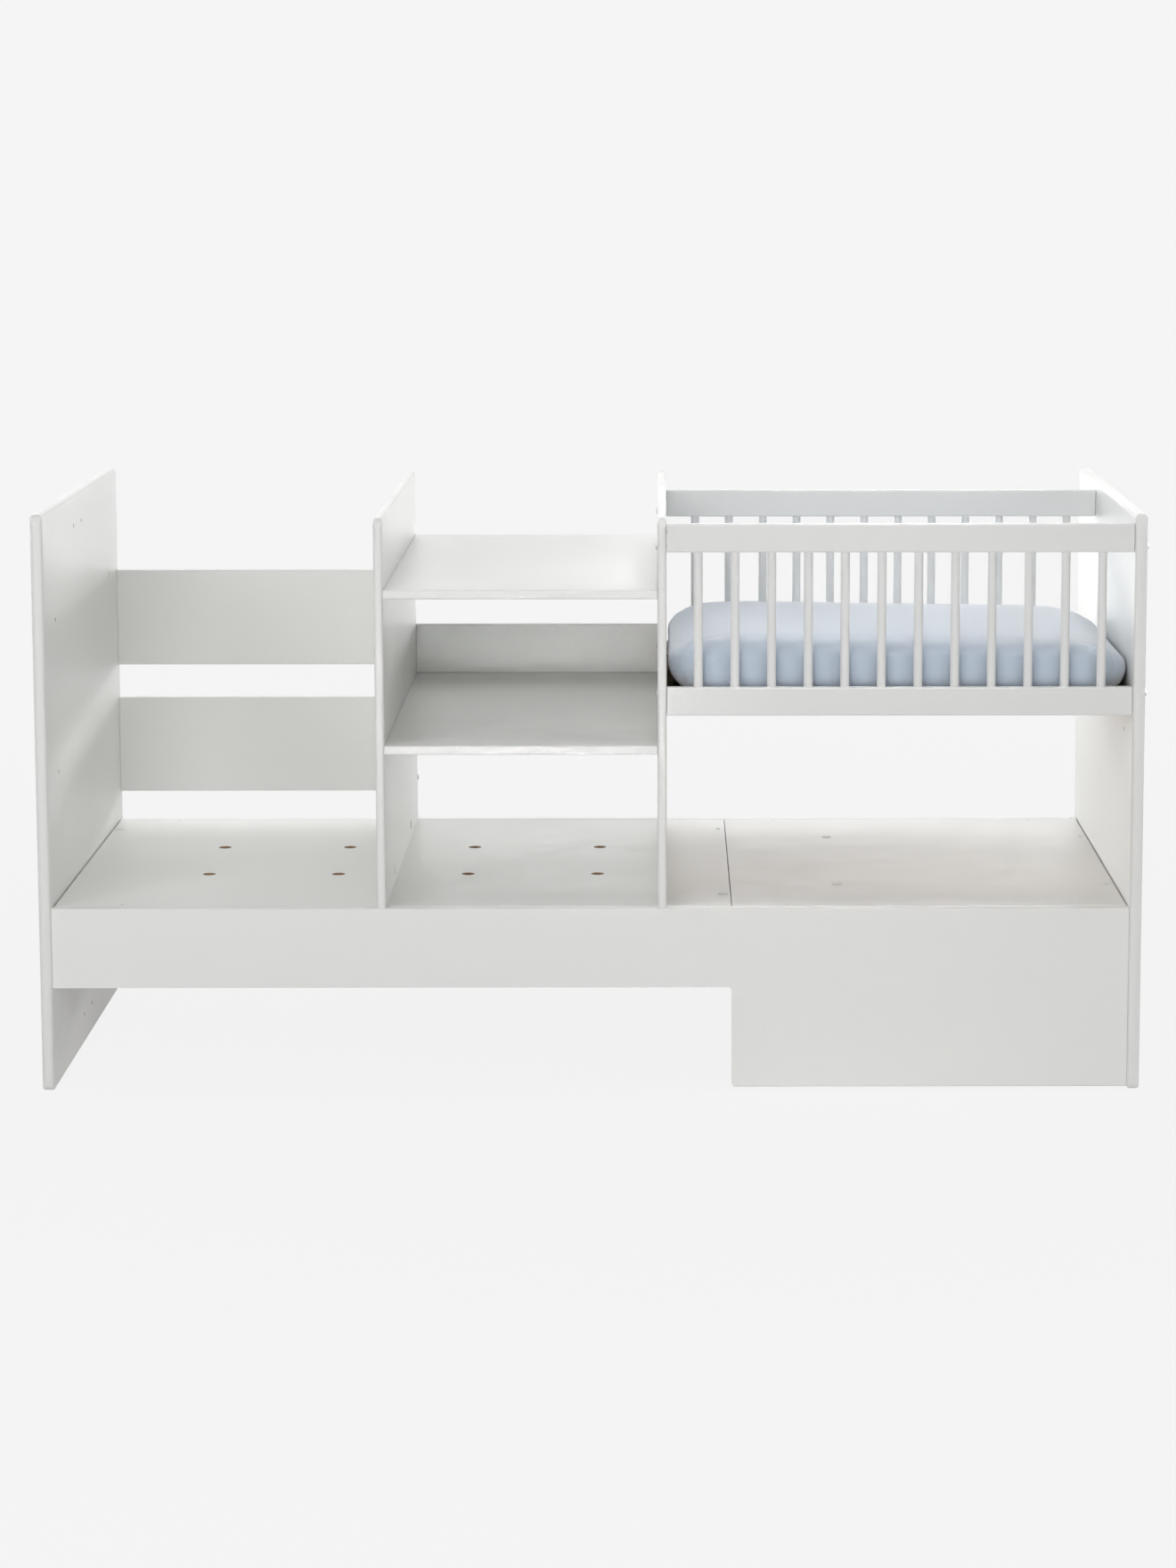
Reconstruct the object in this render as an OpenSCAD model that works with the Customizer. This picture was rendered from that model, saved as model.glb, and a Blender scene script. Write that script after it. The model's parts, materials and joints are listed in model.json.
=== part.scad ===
// Crib with attached changer on a single bed base, knock-down board furniture.
// X runs along the length, the front faces -Y, Z is up and the floor is z = 0.
// X = 0 is the middle of the bed, Y = 0 the middle of the end panels' depth.

/* [Bed base] */
// Clear length between the two end panels
inner_length = 1905; // [1880:1:1990]
// Depth of the end panels, front to back
panel_depth = 950; // [940:1:1000]
// Height of the end panels
panel_height = 1028; // [1022:1:1060]
// Thickness of the end panels
panel_t = 22; // [20:1:28]
// Radius of the end panels' upper and lower corners, seen from the side
panel_corner_r = 18; // [6:1:30]
// Rounding of the end panels' long edges
panel_edge_r = 8; // [2:0.5:9]
// Rounding of the edges of boards, shelves and slats
board_edge_r = 3; // [1:0.5:5]
// Easing of the ends of boards, shelves and slats where they meet an upright board
board_end_r = 1.2; // [0.6:0.1:2]
// Height of the bed base above the floor
base_top = 330; // [325:1:345]
// Thickness of the front and rear boards
base_board_t = 22; // [20:1:25]
// Height of the shallow part of the front and rear boards
shallow_board_h = 143; // [138:1:160]
// Gap between the floor and the deep part of the front and rear boards
toe_gap = 6; // [4:1:12]
// Distance from the crib's left end to the seam of the base plates and the boards' step
seam_offset = 115; // [90:1:135]
// Radius in the corners of the step in the front board
step_r = 7; // [3:1:12]
// Distance that boards and dividers stand behind the panels' front edges
front_inset = 5; // [3:0.5:9]
// Distance that slats, shelves and dividers stop short of the panels' back edges
back_inset = 4; // [2:0.5:8]
// Distance of the base's rear board from the panels' back edges, for a skirting
skirting_gap = 27; // [22:1:34]

/* [Base plates and ledgers] */
// Thickness of the two base plates
plate_t = 16; // [15:1:19]
// Dark gap between a base plate and the end panel beside it
plate_end_gap = 2.5; // [1:0.1:4]
// Gap between a base plate and the boards in front of it and behind it
plate_gap = 0.6; // [0.2:0.1:0.9]
// Gap between the two base plates
seam_gap = 1.4; // [0.4:0.1:2]
// Rounding of the edges of the base plates
plate_edge_r = 0.5; // [0.2:0.1:1]
// Width and height of the ledgers under the plates
ledger_w = 24; // [22:1:28]
// Rounding of the edges of ledgers, battens and the crib floor
timber_edge_r = 1; // [0.5:0.5:2]
// Play at the ends of ledgers, battens and the storage side panel
timber_play = 0.3; // [0.2:0.1:0.6]
// Diameter of the vent holes in the left base plate
vent_d = 24; // [16:1:30]
// Vent hole spacing along the bed
vent_pitch_x = 239; // [226:1:245]
// Vent hole spacing across the bed
vent_pitch_y = 271; // [200:1:300]
// Thickness of the cross battens under the seam and the dividers
batten_t = 22; // [18:1:24]
// Width of the cross batten under the seam
seam_batten_w = 80; // [70:1:84]
// Width of the cross battens under the dividers
divider_batten_w = 60; // [56:1:64]
// Distance from the seam to the centre of the storage side panel
storage_panel_offset = 195; // [180:1:200]
// Thickness of the storage side panel
storage_panel_t = 16; // [15:1:19]
// Distance from the storage side panel's foot to its lower dowels
storage_dowel_edge = 60; // [40:1:80]

/* [Dividers, changer and slats] */
// Clear width of the open bay on the left
left_bay = 575; // [560:1:582]
// Clear width of the changer
changer_bay = 480; // [474:1:492]
// Thickness of the dividers
divider_t = 16; // [15:1:18]
// Rounding of the dividers' long edges
divider_edge_r = 6; // [1:0.5:7]
// Distance from the panels' top down to the dividers' top
divider_drop = 7; // [0:1:12]
// Height of the changer's top surface above the floor
changer_height = 895.5; // [885:0.5:910]
// Height of the lower shelf's top surface above the floor
lower_shelf_height = 620.5; // [610:0.5:625]
// Thickness of the shelves
shelf_t = 16; // [15:1:19]
// Height of the back panel that stands on the lower shelf
back_panel_h = 98; // [80:1:110]
// Thickness of that back panel
back_panel_t = 16; // [15:1:18]
// Height of the upper edge of the back slats above the floor
slat_top = 827; // [815:1:840]
// Height of one back slat
slat_h = 188.5; // [180:0.5:195]
// Gap between the two back slats
slat_gap = 66; // [60:1:72]
// Thickness of the back slats
slat_t = 20; // [18:1:22]
// Distance from a slat's outer edge to its bolt, and from its inner edge to its dowel
slat_bolt_edge = 27.5; // [20:0.5:32]

/* [Crib] */
// Height of the crib's top rail above the floor
crib_top = 1011.5; // [1000:0.5:1013]
// Height of a crib side from its bottom edge to its top edge
crib_side_h = 338; // [330:1:346]
// Clear depth between the front and back rails
crib_inner_depth = 611; // [600:1:640]
// Height of a rail
rail_h = 50; // [45:1:56]
// Thickness of a rail
rail_t = 20; // [20:1:24]
// Rounding of the rails' long edges
rail_r = 3; // [1:0.5:5]
// Easing of a rail's ends
rail_end_r = 2; // [1:0.5:3]
// Diameter of a bar
bar_d = 16; // [12:0.5:17]
// Spacing of the bars
bar_pitch = 64.3; // [60:0.1:70]
// Least distance from a panel to the first bar's axis
bar_min_margin = 45; // [42:1:52]
// Depth of a bar's seat in the rail
bar_seat = 14; // [10:1:18]
// Play between a rail's end and the panel beside it
rail_end_play = 0.5; // [0.1:0.1:0.8]
// Thickness of the crib floor board
floor_t = 12; // [8:1:14]
// Width and height of the strips that carry the floor board
strip_w = 12; // [10:1:14]
// Play around the floor board
floor_play = 0.8; // [0.3:0.1:0.9]
// Thickness of the mattress at its crown
mattress_t = 108; // [96:1:120]
// Rise of the crown above the inner edge of the mattress's shoulder
mattress_crown = 4; // [2:1:8]
// Radius of the mattress's lower edges, up to where it is widest
mattress_lower_r = 54; // [44:1:58]
// Distance over which the mattress's top falls away to its widest line
mattress_shoulder = 112; // [90:1:130]
// Roundness of that shoulder, where 2 is an ellipse
mattress_roundness = 2.2; // [2:0.1:2.6]
// Radius of the mattress's corners seen from above
mattress_corner_r = 84; // [70:1:95]
// Play between the mattress and the two ends of the crib
mattress_end_play = 3; // [1:0.5:8]
// Play between the mattress and the front and back rails
mattress_side_play = 5.5; // [1:0.5:9]
// Clearance between the mattress and the floor board
mattress_under_play = 0.3; // [0.2:0.1:0.5]

/* [Fittings] */
// Diameter of the bolts' shanks
bolt_d = 6; // [5:0.5:7]
// Diameter of the bolts' flat heads
bolt_head_d = 14; // [12:0.5:15]
// Height of the bolts' heads
bolt_head_t = 2.5; // [2:0.1:3]
// Distance from a rail's inner edge to its bolt
rail_bolt_edge = 10.5; // [9.5:0.5:12]
// Distance from a rail's outer edge to its dowel
rail_dowel_edge = 14; // [12:0.5:16]
// Diameter of the barrel nuts
nut_d = 10; // [9:0.5:12]
// Length of the barrel nuts
nut_l = 15; // [14:0.5:16]
// Distance from a rail's end to its barrel nut
nut_setback = 27; // [22:1:32]
// Length of a bolt past its barrel nut
bolt_overrun = 3; // [1:0.5:5]
// Diameter of the wooden dowels
dowel_d = 8; // [6:0.5:8]
// Length of the wooden dowels
dowel_l = 36; // [32:1:38]
// Depth of a dowel in the panel or board that it locates
dowel_seat = 11; // [9:0.5:12]
// Depth of the battens' dowels in the long ledgers
batten_dowel_seat = 8; // [6:0.5:9]
// Distance from the battens' upper faces to their dowels
batten_dowel_edge = 8; // [7:0.5:9]
// Diameter of the cam locks
cam_d = 15; // [12:0.5:16]
// Height of the cam locks
cam_h = 12; // [11:0.5:12.5]
// Distance from the shallow board's lower edge to its first cam lock
board_cam_edge = 28; // [24:1:34]
// Spacing of the cam locks up the ends of the front and rear boards
board_cam_pitch = 50; // [40:1:55]
// Distance from a board's end to its cam lock
cam_setback = 24; // [20:1:30]
// Depth of a cam's pin below the face that the cam is set in
cam_pin_depth = 8; // [7:0.5:8]
// Diameter of the cam pins
cam_pin_d = 6; // [5:0.5:7]
// Depth of the cam pins in the piece that they are screwed into
cam_pin_seat = 11; // [9:0.5:12]
// Distance from a shelf's front or back edge to its cam locks
shelf_cam_edge = 90; // [60:1:120]
// Spacing of the two cam locks low on each divider
divider_cam_spread = 469; // [420:1:480]
// Diameter of the round cover caps
cap_d = 18; // [17:0.5:20]
// Height of the cover caps
cap_h = 1.4; // [1:0.1:2]
// Diameter of the screws' shanks
screw_d = 4; // [3.5:0.5:4.5]
// Diameter of the screws' countersunk heads
screw_head_d = 8; // [7:0.5:9]
// Length of a base plate's screw below the plate
plate_screw_grip = 14; // [10:1:18]
// Length of a ledger's screw past the ledger
ledger_screw_grip = 14; // [10:1:16]
// Length of a back panel's screw in that panel
back_panel_screw_grip = 24; // [16:1:40]
// Length of a floor strip's screw past the strip
strip_screw_grip = 10; // [8:1:12]
// Number of screws along each long ledger
ledger_screw_count = 6; // [4:1:7]
// Distance from a long ledger's ends to its first screws
ledger_screw_margin = 110; // [90:5:140]
// Distance between the outer screws of an end ledger
end_ledger_screw_spread = 560; // [520:10:600]
// Distance from the ends of the shelf's back panel to its outer screws
back_panel_screw_inset = 80; // [60:1:100]
// Distance from the left plate's ends to its front and rear screws
left_screw_inset = 121; // [119:1:126]
// Distance from the right plate's ends to its front and rear screws
right_screw_inset = 98; // [90:1:110]
// Distance from a plate's end to its capped screws
cap_screw_inset = 14; // [11:0.5:15]
// Spacing of the capped screws across the left plate
left_cap_spread = 659; // [600:1:700]
// Spacing of the capped screws across the right plate
right_cap_spread = 478; // [400:1:520]
// Depth to which the capped screws are sunk
cap_recess_h = 3; // [2:0.5:5]
// Play around a sunk screw's head
cap_recess_play = 2; // [1:0.5:3]
// Diameter of the spare holes in the end panels' inner faces
spare_hole_d = 7; // [5:0.5:10]
// Depth of the spare holes
spare_hole_depth = 10; // [8:1:12]
// Height of the upper row of spare holes above the floor
spare_row_high = 829; // [815:1:845]
// Height of the lower row of spare holes above the floor
spare_row_low = 555; // [540:1:570]
// Distance from a panel's front and back edges to the spare holes of a row
spare_row_edge = 130; // [115:1:145]
// Distance of the spare hole pairs from the left panel's top and foot
spare_pair_edge = 56; // [45:1:70]
// Distance of those pairs in front of the panel's middle
spare_pair_offset = 54; // [30:1:80]
// Spacing of the two holes of a pair
spare_pair_pitch = 95; // [80:1:110]
// Height of the right panel's spare hole above the floor
spare_right_height = 631; // [615:1:645]
// Width of the rim of the cap that covers a spare hole
hole_cap_rim = 2.5; // [1.5:0.1:3.5]
// Diameter of the locating holes in the top edges of the front and rear boards
locating_hole_d = 5; // [4:0.5:6]
// Depth of the locating holes
locating_hole_depth = 8; // [5:1:12]
// Distance from a locating hole to the right end panel
locating_hole_inset = 11; // [8:1:14]
// Radial clearance of bolts, pins, dowels, bars and screws in their holes
fit = 0.1; // [0.05:0.01:0.2]

/* [Hidden] */
$fn = 48;
// Overrun of a cut past the face that it opens
over = 1;

white = [0.93, 0.93, 0.92];
raw_board = [0.72, 0.6, 0.44];
beech = [0.8, 0.68, 0.5];
steel = [0.62, 0.63, 0.65];
zinc = [0.5, 0.51, 0.53];
cap_white = [0.88, 0.88, 0.85];
sheet_blue = [0.8, 0.86, 0.9];

// Places along the length
half = inner_length / 2;
outer_x = half + panel_t;
divider_left_x = -half + left_bay;
changer_x0 = divider_left_x + divider_t;
divider_right_x = changer_x0 + changer_bay;
crib_x0 = divider_right_x + divider_t;
seam_x = crib_x0 + seam_offset;
left_plate_x0 = -half + plate_end_gap;
right_plate_x1 = half - plate_end_gap;
storage_panel_x = seam_x + storage_panel_offset;

// Places from front to back
front_y = -panel_depth / 2 + front_inset;
back_y = panel_depth / 2 - back_inset;
base_back_y = panel_depth / 2 - skirting_gap;
bay_front_y = front_y + base_board_t;
bay_back_y = base_back_y - base_board_t;
base_mid_y = (bay_front_y + bay_back_y) / 2;
ledger_front_y = bay_front_y + ledger_w;
ledger_back_y = bay_back_y - ledger_w;
divider_mid_y = (front_y + back_y) / 2;
back_panel_y = back_y - back_panel_t / 2;
slat_y = back_y - slat_t / 2;
front_rail_y = front_y + rail_t / 2;
back_rail_y = front_rail_y + crib_inner_depth + rail_t;
rail_ys = [front_rail_y, back_rail_y];
crib_mid_y = (front_rail_y + back_rail_y) / 2;

// Heights
shallow_z = base_top - shallow_board_h;
plate_z = base_top - plate_t;
ledger_z = plate_z - ledger_w;
ledger_screw_z = ledger_z + ledger_w / 4;
batten_dowel_z = plate_z - batten_dowel_edge;
divider_top = panel_height - divider_drop;
crib_bottom = crib_top - crib_side_h;
top_rail_z = crib_top - rail_h;
bottom_rail_top = crib_bottom + rail_h;
upper_slat_z = slat_top - slat_h;
lower_slat_top = upper_slat_z - slat_gap;
lower_slat_z = lower_slat_top - slat_h;
floor_z = crib_bottom + strip_w;
mattress_z = floor_z + floor_t + mattress_under_play;

// Joints of the crib sides: the bolts and dowels of the top and the bottom rails
rail_bolt_zs = [top_rail_z + rail_bolt_edge, bottom_rail_top - rail_bolt_edge];
rail_dowel_zs = [crib_top - rail_dowel_edge, crib_bottom + rail_dowel_edge];
bolt_reach = nut_setback + nut_d / 2 + bolt_overrun;

// Joints of the back slats: the bolt by the outer edge, the dowel by the inner edge
slat_bolt_zs = [slat_top - slat_bolt_edge, lower_slat_z + slat_bolt_edge];
slat_dowel_zs = [upper_slat_z + slat_bolt_edge, lower_slat_top - slat_bolt_edge];

// Cam locks of the front and rear boards, by their height on each end
shallow_cam_zs = [for (i = [0, 1]) shallow_z + board_cam_edge + i * board_cam_pitch];
deep_cam_zs = [toe_gap + board_cam_pitch, toe_gap + 3 * board_cam_pitch, shallow_cam_zs[1]];
// and their places: [end, side, z]
board_cams = concat(
    [for (side = [-1, 1], z = shallow_cam_zs) [-1, side, z]],
    [for (side = [-1, 1], z = deep_cam_zs) [1, side, z]]
);
board_pin_ys = [bay_front_y - cam_pin_depth, bay_back_y + cam_pin_depth];
shelf_cam_ys = [front_y + shelf_cam_edge, back_y - shelf_cam_edge];
divider_cam_ys = [divider_mid_y - divider_cam_spread / 2, divider_mid_y + divider_cam_spread / 2];
divider_cam_z = base_top + cam_setback;
divider_pin_xs = [changer_x0 - cam_pin_depth, divider_right_x + cam_pin_depth];

// Bars, spread evenly about the middle of the crib
crib_bay = half - crib_x0;
bar_count = floor((crib_bay - 2 * bar_min_margin) / bar_pitch) + 1;
bar_margin = (crib_bay - (bar_count - 1) * bar_pitch) / 2;
bar_xs = [for (i = [0 : bar_count - 1]) crib_x0 + bar_margin + i * bar_pitch];

// Vent holes, spread evenly about the middle of the left plate
vent_mid_x = (seam_x - half) / 2;
vent_xs = [for (i = [-1.5 : 1 : 1.5]) vent_mid_x + i * vent_pitch_x];
vent_ys = [base_mid_y - vent_pitch_y / 2, base_mid_y + vent_pitch_y / 2];

// Screws of the base plates
ledger_ys = [bay_front_y + ledger_w / 2, bay_back_y - ledger_w / 2];
left_screw_xs = [-half + left_screw_inset, seam_x - left_screw_inset];
right_screw_xs = [seam_x + right_screw_inset, half - right_screw_inset];
left_cap_xs = [-half + cap_screw_inset, seam_x - cap_screw_inset];
right_cap_xs = [storage_panel_x, half - cap_screw_inset];
left_cap_ys = [base_mid_y - left_cap_spread / 2, base_mid_y + left_cap_spread / 2];
right_cap_ys = [base_mid_y - right_cap_spread / 2, base_mid_y + right_cap_spread / 2];
capped_places = concat(
    [for (x = left_cap_xs, y = left_cap_ys) [x, y]],
    [for (x = right_cap_xs, y = right_cap_ys) [x, y]]
);
// The two sunk screws whose cover caps are missing
bare_places = [[left_cap_xs[1], left_cap_ys[1]], [right_cap_xs[1], right_cap_ys[1]]];
plate_screw_l = plate_t + plate_screw_grip;

// Screws of the ledgers, into the boards and the end panels
ledger_screw_x0 = -half + ledger_screw_margin;
ledger_screw_pitch = (inner_length - 2 * ledger_screw_margin) / (ledger_screw_count - 1);
ledger_screw_xs = [for (i = [0 : ledger_screw_count - 1]) ledger_screw_x0 + i * ledger_screw_pitch];
end_ledger_screw_ys = [for (i = [-1 : 1]) base_mid_y + i * end_ledger_screw_spread / 2];
ledger_screw_l = ledger_w + ledger_screw_grip;

// Battens: [middle, width]
battens = [
    [seam_x, seam_batten_w],
    [divider_left_x + divider_t / 2, divider_batten_w],
    [divider_right_x + divider_t / 2, divider_batten_w]
];

// Other small joints
storage_dowel_zs = [toe_gap + storage_dowel_edge, shallow_z];
changer_mid_x = (changer_x0 + divider_right_x) / 2;
back_panel_screw_half = changer_bay / 2 - back_panel_screw_inset;
back_panel_screw_xs = [for (i = [-1 : 1]) changer_mid_x + i * back_panel_screw_half];
back_panel_screw_l = shelf_t + back_panel_screw_grip;
strip_screw_xs = [for (i = [-1 : 1]) (crib_x0 + half) / 2 + i * crib_bay / 3];
strip_screw_ys = [crib_mid_y - crib_inner_depth / 4, crib_mid_y + crib_inner_depth / 4];
strip_mid_z = crib_bottom + strip_w / 2;
strip_screw_l = strip_w + strip_screw_grip;

// Spare holes: [distance behind the middle, height]
spare_row_half = panel_depth / 2 - spare_row_edge;
spare_pair_ys = [for (i = [-1, 1]) -spare_pair_offset + i * spare_pair_pitch / 2];
left_spare_holes = concat(
    [for (z = [spare_row_high, spare_row_low]) [-spare_row_half, z]],
    [for (y = spare_pair_ys, z = [spare_pair_edge, panel_height - spare_pair_edge]) [y, z]]
);
capped_hole = [spare_row_half, spare_row_high];
right_spare_holes = [[-spare_row_half, spare_right_height]];

// Diameter of the hole for a thing of diameter d
function bore(d) = d + 2 * fit;

// A rectangle with round corners, centred
module rounded_rect(a, b, r) {
    if (r > 0) {
        square([a - 2 * r, b], center = true);
        square([a, b - 2 * r], center = true);
        for (sx = [-1, 1], sy = [-1, 1])
            translate([sx * (a / 2 - r), sy * (b / 2 - r)]) circle(r = r);
    } else {
        square([a, b], center = true);
    }
}

// A block from corner a to corner b; its outlines seen along X, Y and Z
// have corners of the radii r.x, r.y and r.z
module soft_block(a, b, r) {
    s = b - a;
    translate((a + b) / 2)
        intersection() {
            rotate([90, 0, 90]) linear_extrude(s.x, center = true) rounded_rect(s.y, s.z, r.x);
            if (r.y > 0)
                rotate([90, 0, 0]) linear_extrude(s.y, center = true) rounded_rect(s.x, s.z, r.y);
            if (r.z > 0)
                linear_extrude(s.z, center = true) rounded_rect(s.x, s.y, r.z);
        }
}

// Round rods along an axis, from the first place to the second, in either order
module rod_x(x0, x1, y, z, d) {
    translate([min(x0, x1), y, z]) rotate([0, 90, 0]) cylinder(d = d, h = abs(x1 - x0));
}

module rod_y(y0, y1, x, z, d) {
    translate([x, max(y0, y1), z]) rotate([90, 0, 0]) cylinder(d = d, h = abs(y1 - y0));
}

module rod_z(z0, z1, x, y, d) {
    translate([x, y, min(z0, z1)]) cylinder(d = d, h = abs(z1 - z0));
}

// Turns a thing that points up so that it points along a side of the row: +X or -X
module pointing_x(side) {
    rotate([0, 90 * side, 0]) children();
}

// A disc that stands on z = 0, with a bevelled upper edge
module bevelled_disc(d, h, bevel) {
    rotate_extrude()
        polygon([[0, 0], [d / 2, 0], [d / 2, h - bevel], [d / 2 - bevel, h], [0, h]]);
}

// A bolt whose head stands on z = 0, with a hexagon socket; the shank goes down
module bolt(shank_l) {
    bevel = bolt_head_t / 2;
    socket_d = bolt_d * 0.7;
    socket_floor = bolt_head_t * 0.3;
    difference() {
        union() {
            bevelled_disc(bolt_head_d, bolt_head_t, bevel);
            translate([0, 0, -shank_l]) cylinder(d = bolt_d, h = shank_l + socket_floor);
        }
        translate([0, 0, socket_floor]) cylinder(d = socket_d, h = bolt_head_t, $fn = 6);
    }
}

// A countersunk screw whose head lies flush with z = 0; the shank goes down
module screw(length) {
    head_h = (screw_head_d - screw_d) / 2;
    slot_w = 1;
    slot_l = screw_head_d * 0.6;
    difference() {
        union() {
            translate([0, 0, -head_h]) cylinder(d1 = screw_d, d2 = screw_head_d, h = head_h);
            translate([0, 0, -length]) cylinder(d = screw_d, h = length - head_h / 2);
        }
        for (turn = [0, 90])
            rotate([0, 0, turn])
                cube([slot_l, slot_w, head_h], center = true);
    }
}

// The hole for that screw: its countersink and its pilot
module screw_hole(length) {
    head_h = (screw_head_d - screw_d) / 2;
    bore_d = bore(screw_d);
    sink_h = head_h + 2 * fit;
    translate([0, 0, -head_h - fit]) cylinder(d1 = bore_d, d2 = bore_d + 2 * sink_h, h = sink_h);
    translate([0, 0, -length - fit]) cylinder(d = bore_d, h = length);
}

// A cam lock, its open face on z = 0; its pin comes in along +X at the pin's depth
module cam_lock() {
    slot_w = 1.5;
    slot_l = cam_d * 0.6;
    difference() {
        translate([0, 0, -cam_h]) cylinder(d = cam_d, h = cam_h);
        rod_x(0, cam_d, 0, -cam_pin_depth, bore(cam_pin_d));
        cube([slot_l, slot_w, 2 * slot_w], center = true);
        cube([slot_w, slot_l, 2 * slot_w], center = true);
    }
}

// The blind hole for a cam lock
module cam_hole() {
    translate([0, 0, -cam_h - fit]) cylinder(d = bore(cam_d), h = cam_h + over);
}

// A low cover cap with a bevelled edge, standing on z = 0
module cover_cap() {
    bevelled_disc(cap_d, cap_h, cap_h / 2);
}

// The spare holes of an end panel, drilled into its inner face; side is -1 left, 1 right
module spare_holes(side, holes) {
    for (h = holes)
        rod_x(side * (half - over), side * (half + spare_hole_depth), h[0], h[1], spare_hole_d);
}

// Blind holes in an end panel for the pins of the front and rear boards
module board_pin_holes(side, zs) {
    for (y = board_pin_ys, z = zs)
        rod_x(side * (half - over), side * (half + cam_pin_seat + fit), y, z, bore(cam_pin_d));
}

// Pilot holes in an end panel for the screws of its end ledger
module end_ledger_pilots(side) {
    for (y = end_ledger_screw_ys)
        rod_x(side * (half - over), side * (half + ledger_screw_grip + fit), y, ledger_screw_z,
            bore(screw_d));
}

// Pilot holes for the screws of an end strip of the crib floor
module end_strip_pilots(x, side) {
    for (y = strip_screw_ys)
        rod_x(x - side * over, x + side * (strip_screw_grip + fit), y, strip_mid_z, bore(screw_d));
}

// An end panel: side is -1 on the left, 1 on the right
module end_panel(side) {
    soft_block(
        [side < 0 ? -outer_x : half, -panel_depth / 2, 0],
        [side < 0 ? -half : outer_x, panel_depth / 2, panel_height],
        [panel_corner_r, panel_edge_r, panel_edge_r]
    );
}

module left_end_panel() {
    color(white)
        difference() {
            end_panel(-1);
            for (z = slat_bolt_zs)
                rod_x(-outer_x - over, -half + over, slat_y, z, bore(bolt_d));
            for (z = slat_dowel_zs)
                rod_x(-half - dowel_seat - fit, -half + over, slat_y, z, bore(dowel_d));
            board_pin_holes(-1, shallow_cam_zs);
            end_ledger_pilots(-1);
            spare_holes(-1, concat(left_spare_holes, [capped_hole]));
        }
}

module right_end_panel() {
    color(white)
        difference() {
            end_panel(1);
            for (y = rail_ys, z = rail_bolt_zs)
                rod_x(half - over, outer_x + over, y, z, bore(bolt_d));
            for (y = rail_ys, z = rail_dowel_zs)
                rod_x(half - over, half + dowel_seat + fit, y, z, bore(dowel_d));
            board_pin_holes(1, deep_cam_zs);
            end_ledger_pilots(1);
            end_strip_pilots(half, 1);
            spare_holes(1, right_spare_holes);
        }
}

module panel_hole_cap() {
    color(cap_white)
        translate([-half, capped_hole[0], capped_hole[1]])
            pointing_x(1) {
                bevelled_disc(spare_hole_d + 2 * hole_cap_rim, cap_h, cap_h / 2);
                translate([0, 0, over - spare_hole_depth])
                    cylinder(d = spare_hole_d - 2 * fit, h = spare_hole_depth);
            }
}

// Outline of the front and rear boards: shallow on the left, deep on the right of a step
// that stands in line with the seam of the base plates
module board_outline() {
    difference() {
        translate([0, (toe_gap + base_top) / 2])
            rounded_rect(inner_length, base_top - toe_gap, 0);
        translate([-half - over, toe_gap - over])
            square([seam_x + half + over, shallow_z - toe_gap + over]);
    }
    // Fillet in the inner corner of the step
    translate([seam_x, shallow_z])
        difference() {
            translate([-step_r, -step_r]) square(step_r + fit);
            translate([-step_r, -step_r]) circle(r = step_r);
        }
}

// A stepped board between y0 and y1; side is -1 for the front board, 1 for the rear one
module stepped_board(y0, y1, side) {
    inner_y = side < 0 ? y1 : y0;
    r = board_edge_r;
    difference() {
        intersection() {
            translate([0, y1, 0]) rotate([90, 0, 0]) linear_extrude(y1 - y0) board_outline();
            soft_block([-half, y0, toe_gap], [half, y1, base_top], [r, 0, board_end_r]);
        }
        // Round outer corner at the foot of the step
        translate([seam_x, y1 + over, toe_gap])
            rotate([90, 0, 0])
                linear_extrude(y1 - y0 + 2 * over)
                    difference() {
                        translate([-over, -over]) square(step_r + over);
                        translate([step_r, step_r]) circle(r = step_r);
                    }
        board_joint_holes(inner_y, side);
        // Small locating hole in the top edge beside the right end panel
        rod_z(base_top - locating_hole_depth, base_top + over, half - locating_hole_inset, (y0 + y1) / 2,
            locating_hole_d);
    }
}

// Cam holes, pin holes, ledger pilots and storage dowel holes of a stepped board
module board_joint_holes(inner_y, side) {
    pin_y = inner_y + side * cam_pin_depth;
    for (end = [-1, 1])
        for (z = end < 0 ? shallow_cam_zs : deep_cam_zs) {
            translate([end * (half - cam_setback), inner_y, z]) rotate([-90 * -side, 0, 0]) cam_hole();
            rod_x(end * (half - cam_setback), end * (half + over), pin_y, z, bore(cam_pin_d));
        }
    for (x = ledger_screw_xs)
        rod_y(inner_y - side * over, inner_y + side * (ledger_screw_grip + fit), x, ledger_screw_z,
            bore(screw_d));
    for (z = storage_dowel_zs)
        rod_y(inner_y - side * over, inner_y + side * (dowel_seat + fit), storage_panel_x, z, bore(dowel_d));
}

module front_board() {
    color(white) stepped_board(front_y, bay_front_y, -1);
}

module rear_board() {
    color(white) stepped_board(bay_back_y, base_back_y, 1);
}

// A base plate from x0 to x1
module base_plate(x0, x1) {
    soft_block(
        [x0, bay_front_y + plate_gap, plate_z],
        [x1, bay_back_y - plate_gap, base_top],
        [plate_edge_r, plate_edge_r, 0]
    );
}

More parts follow.
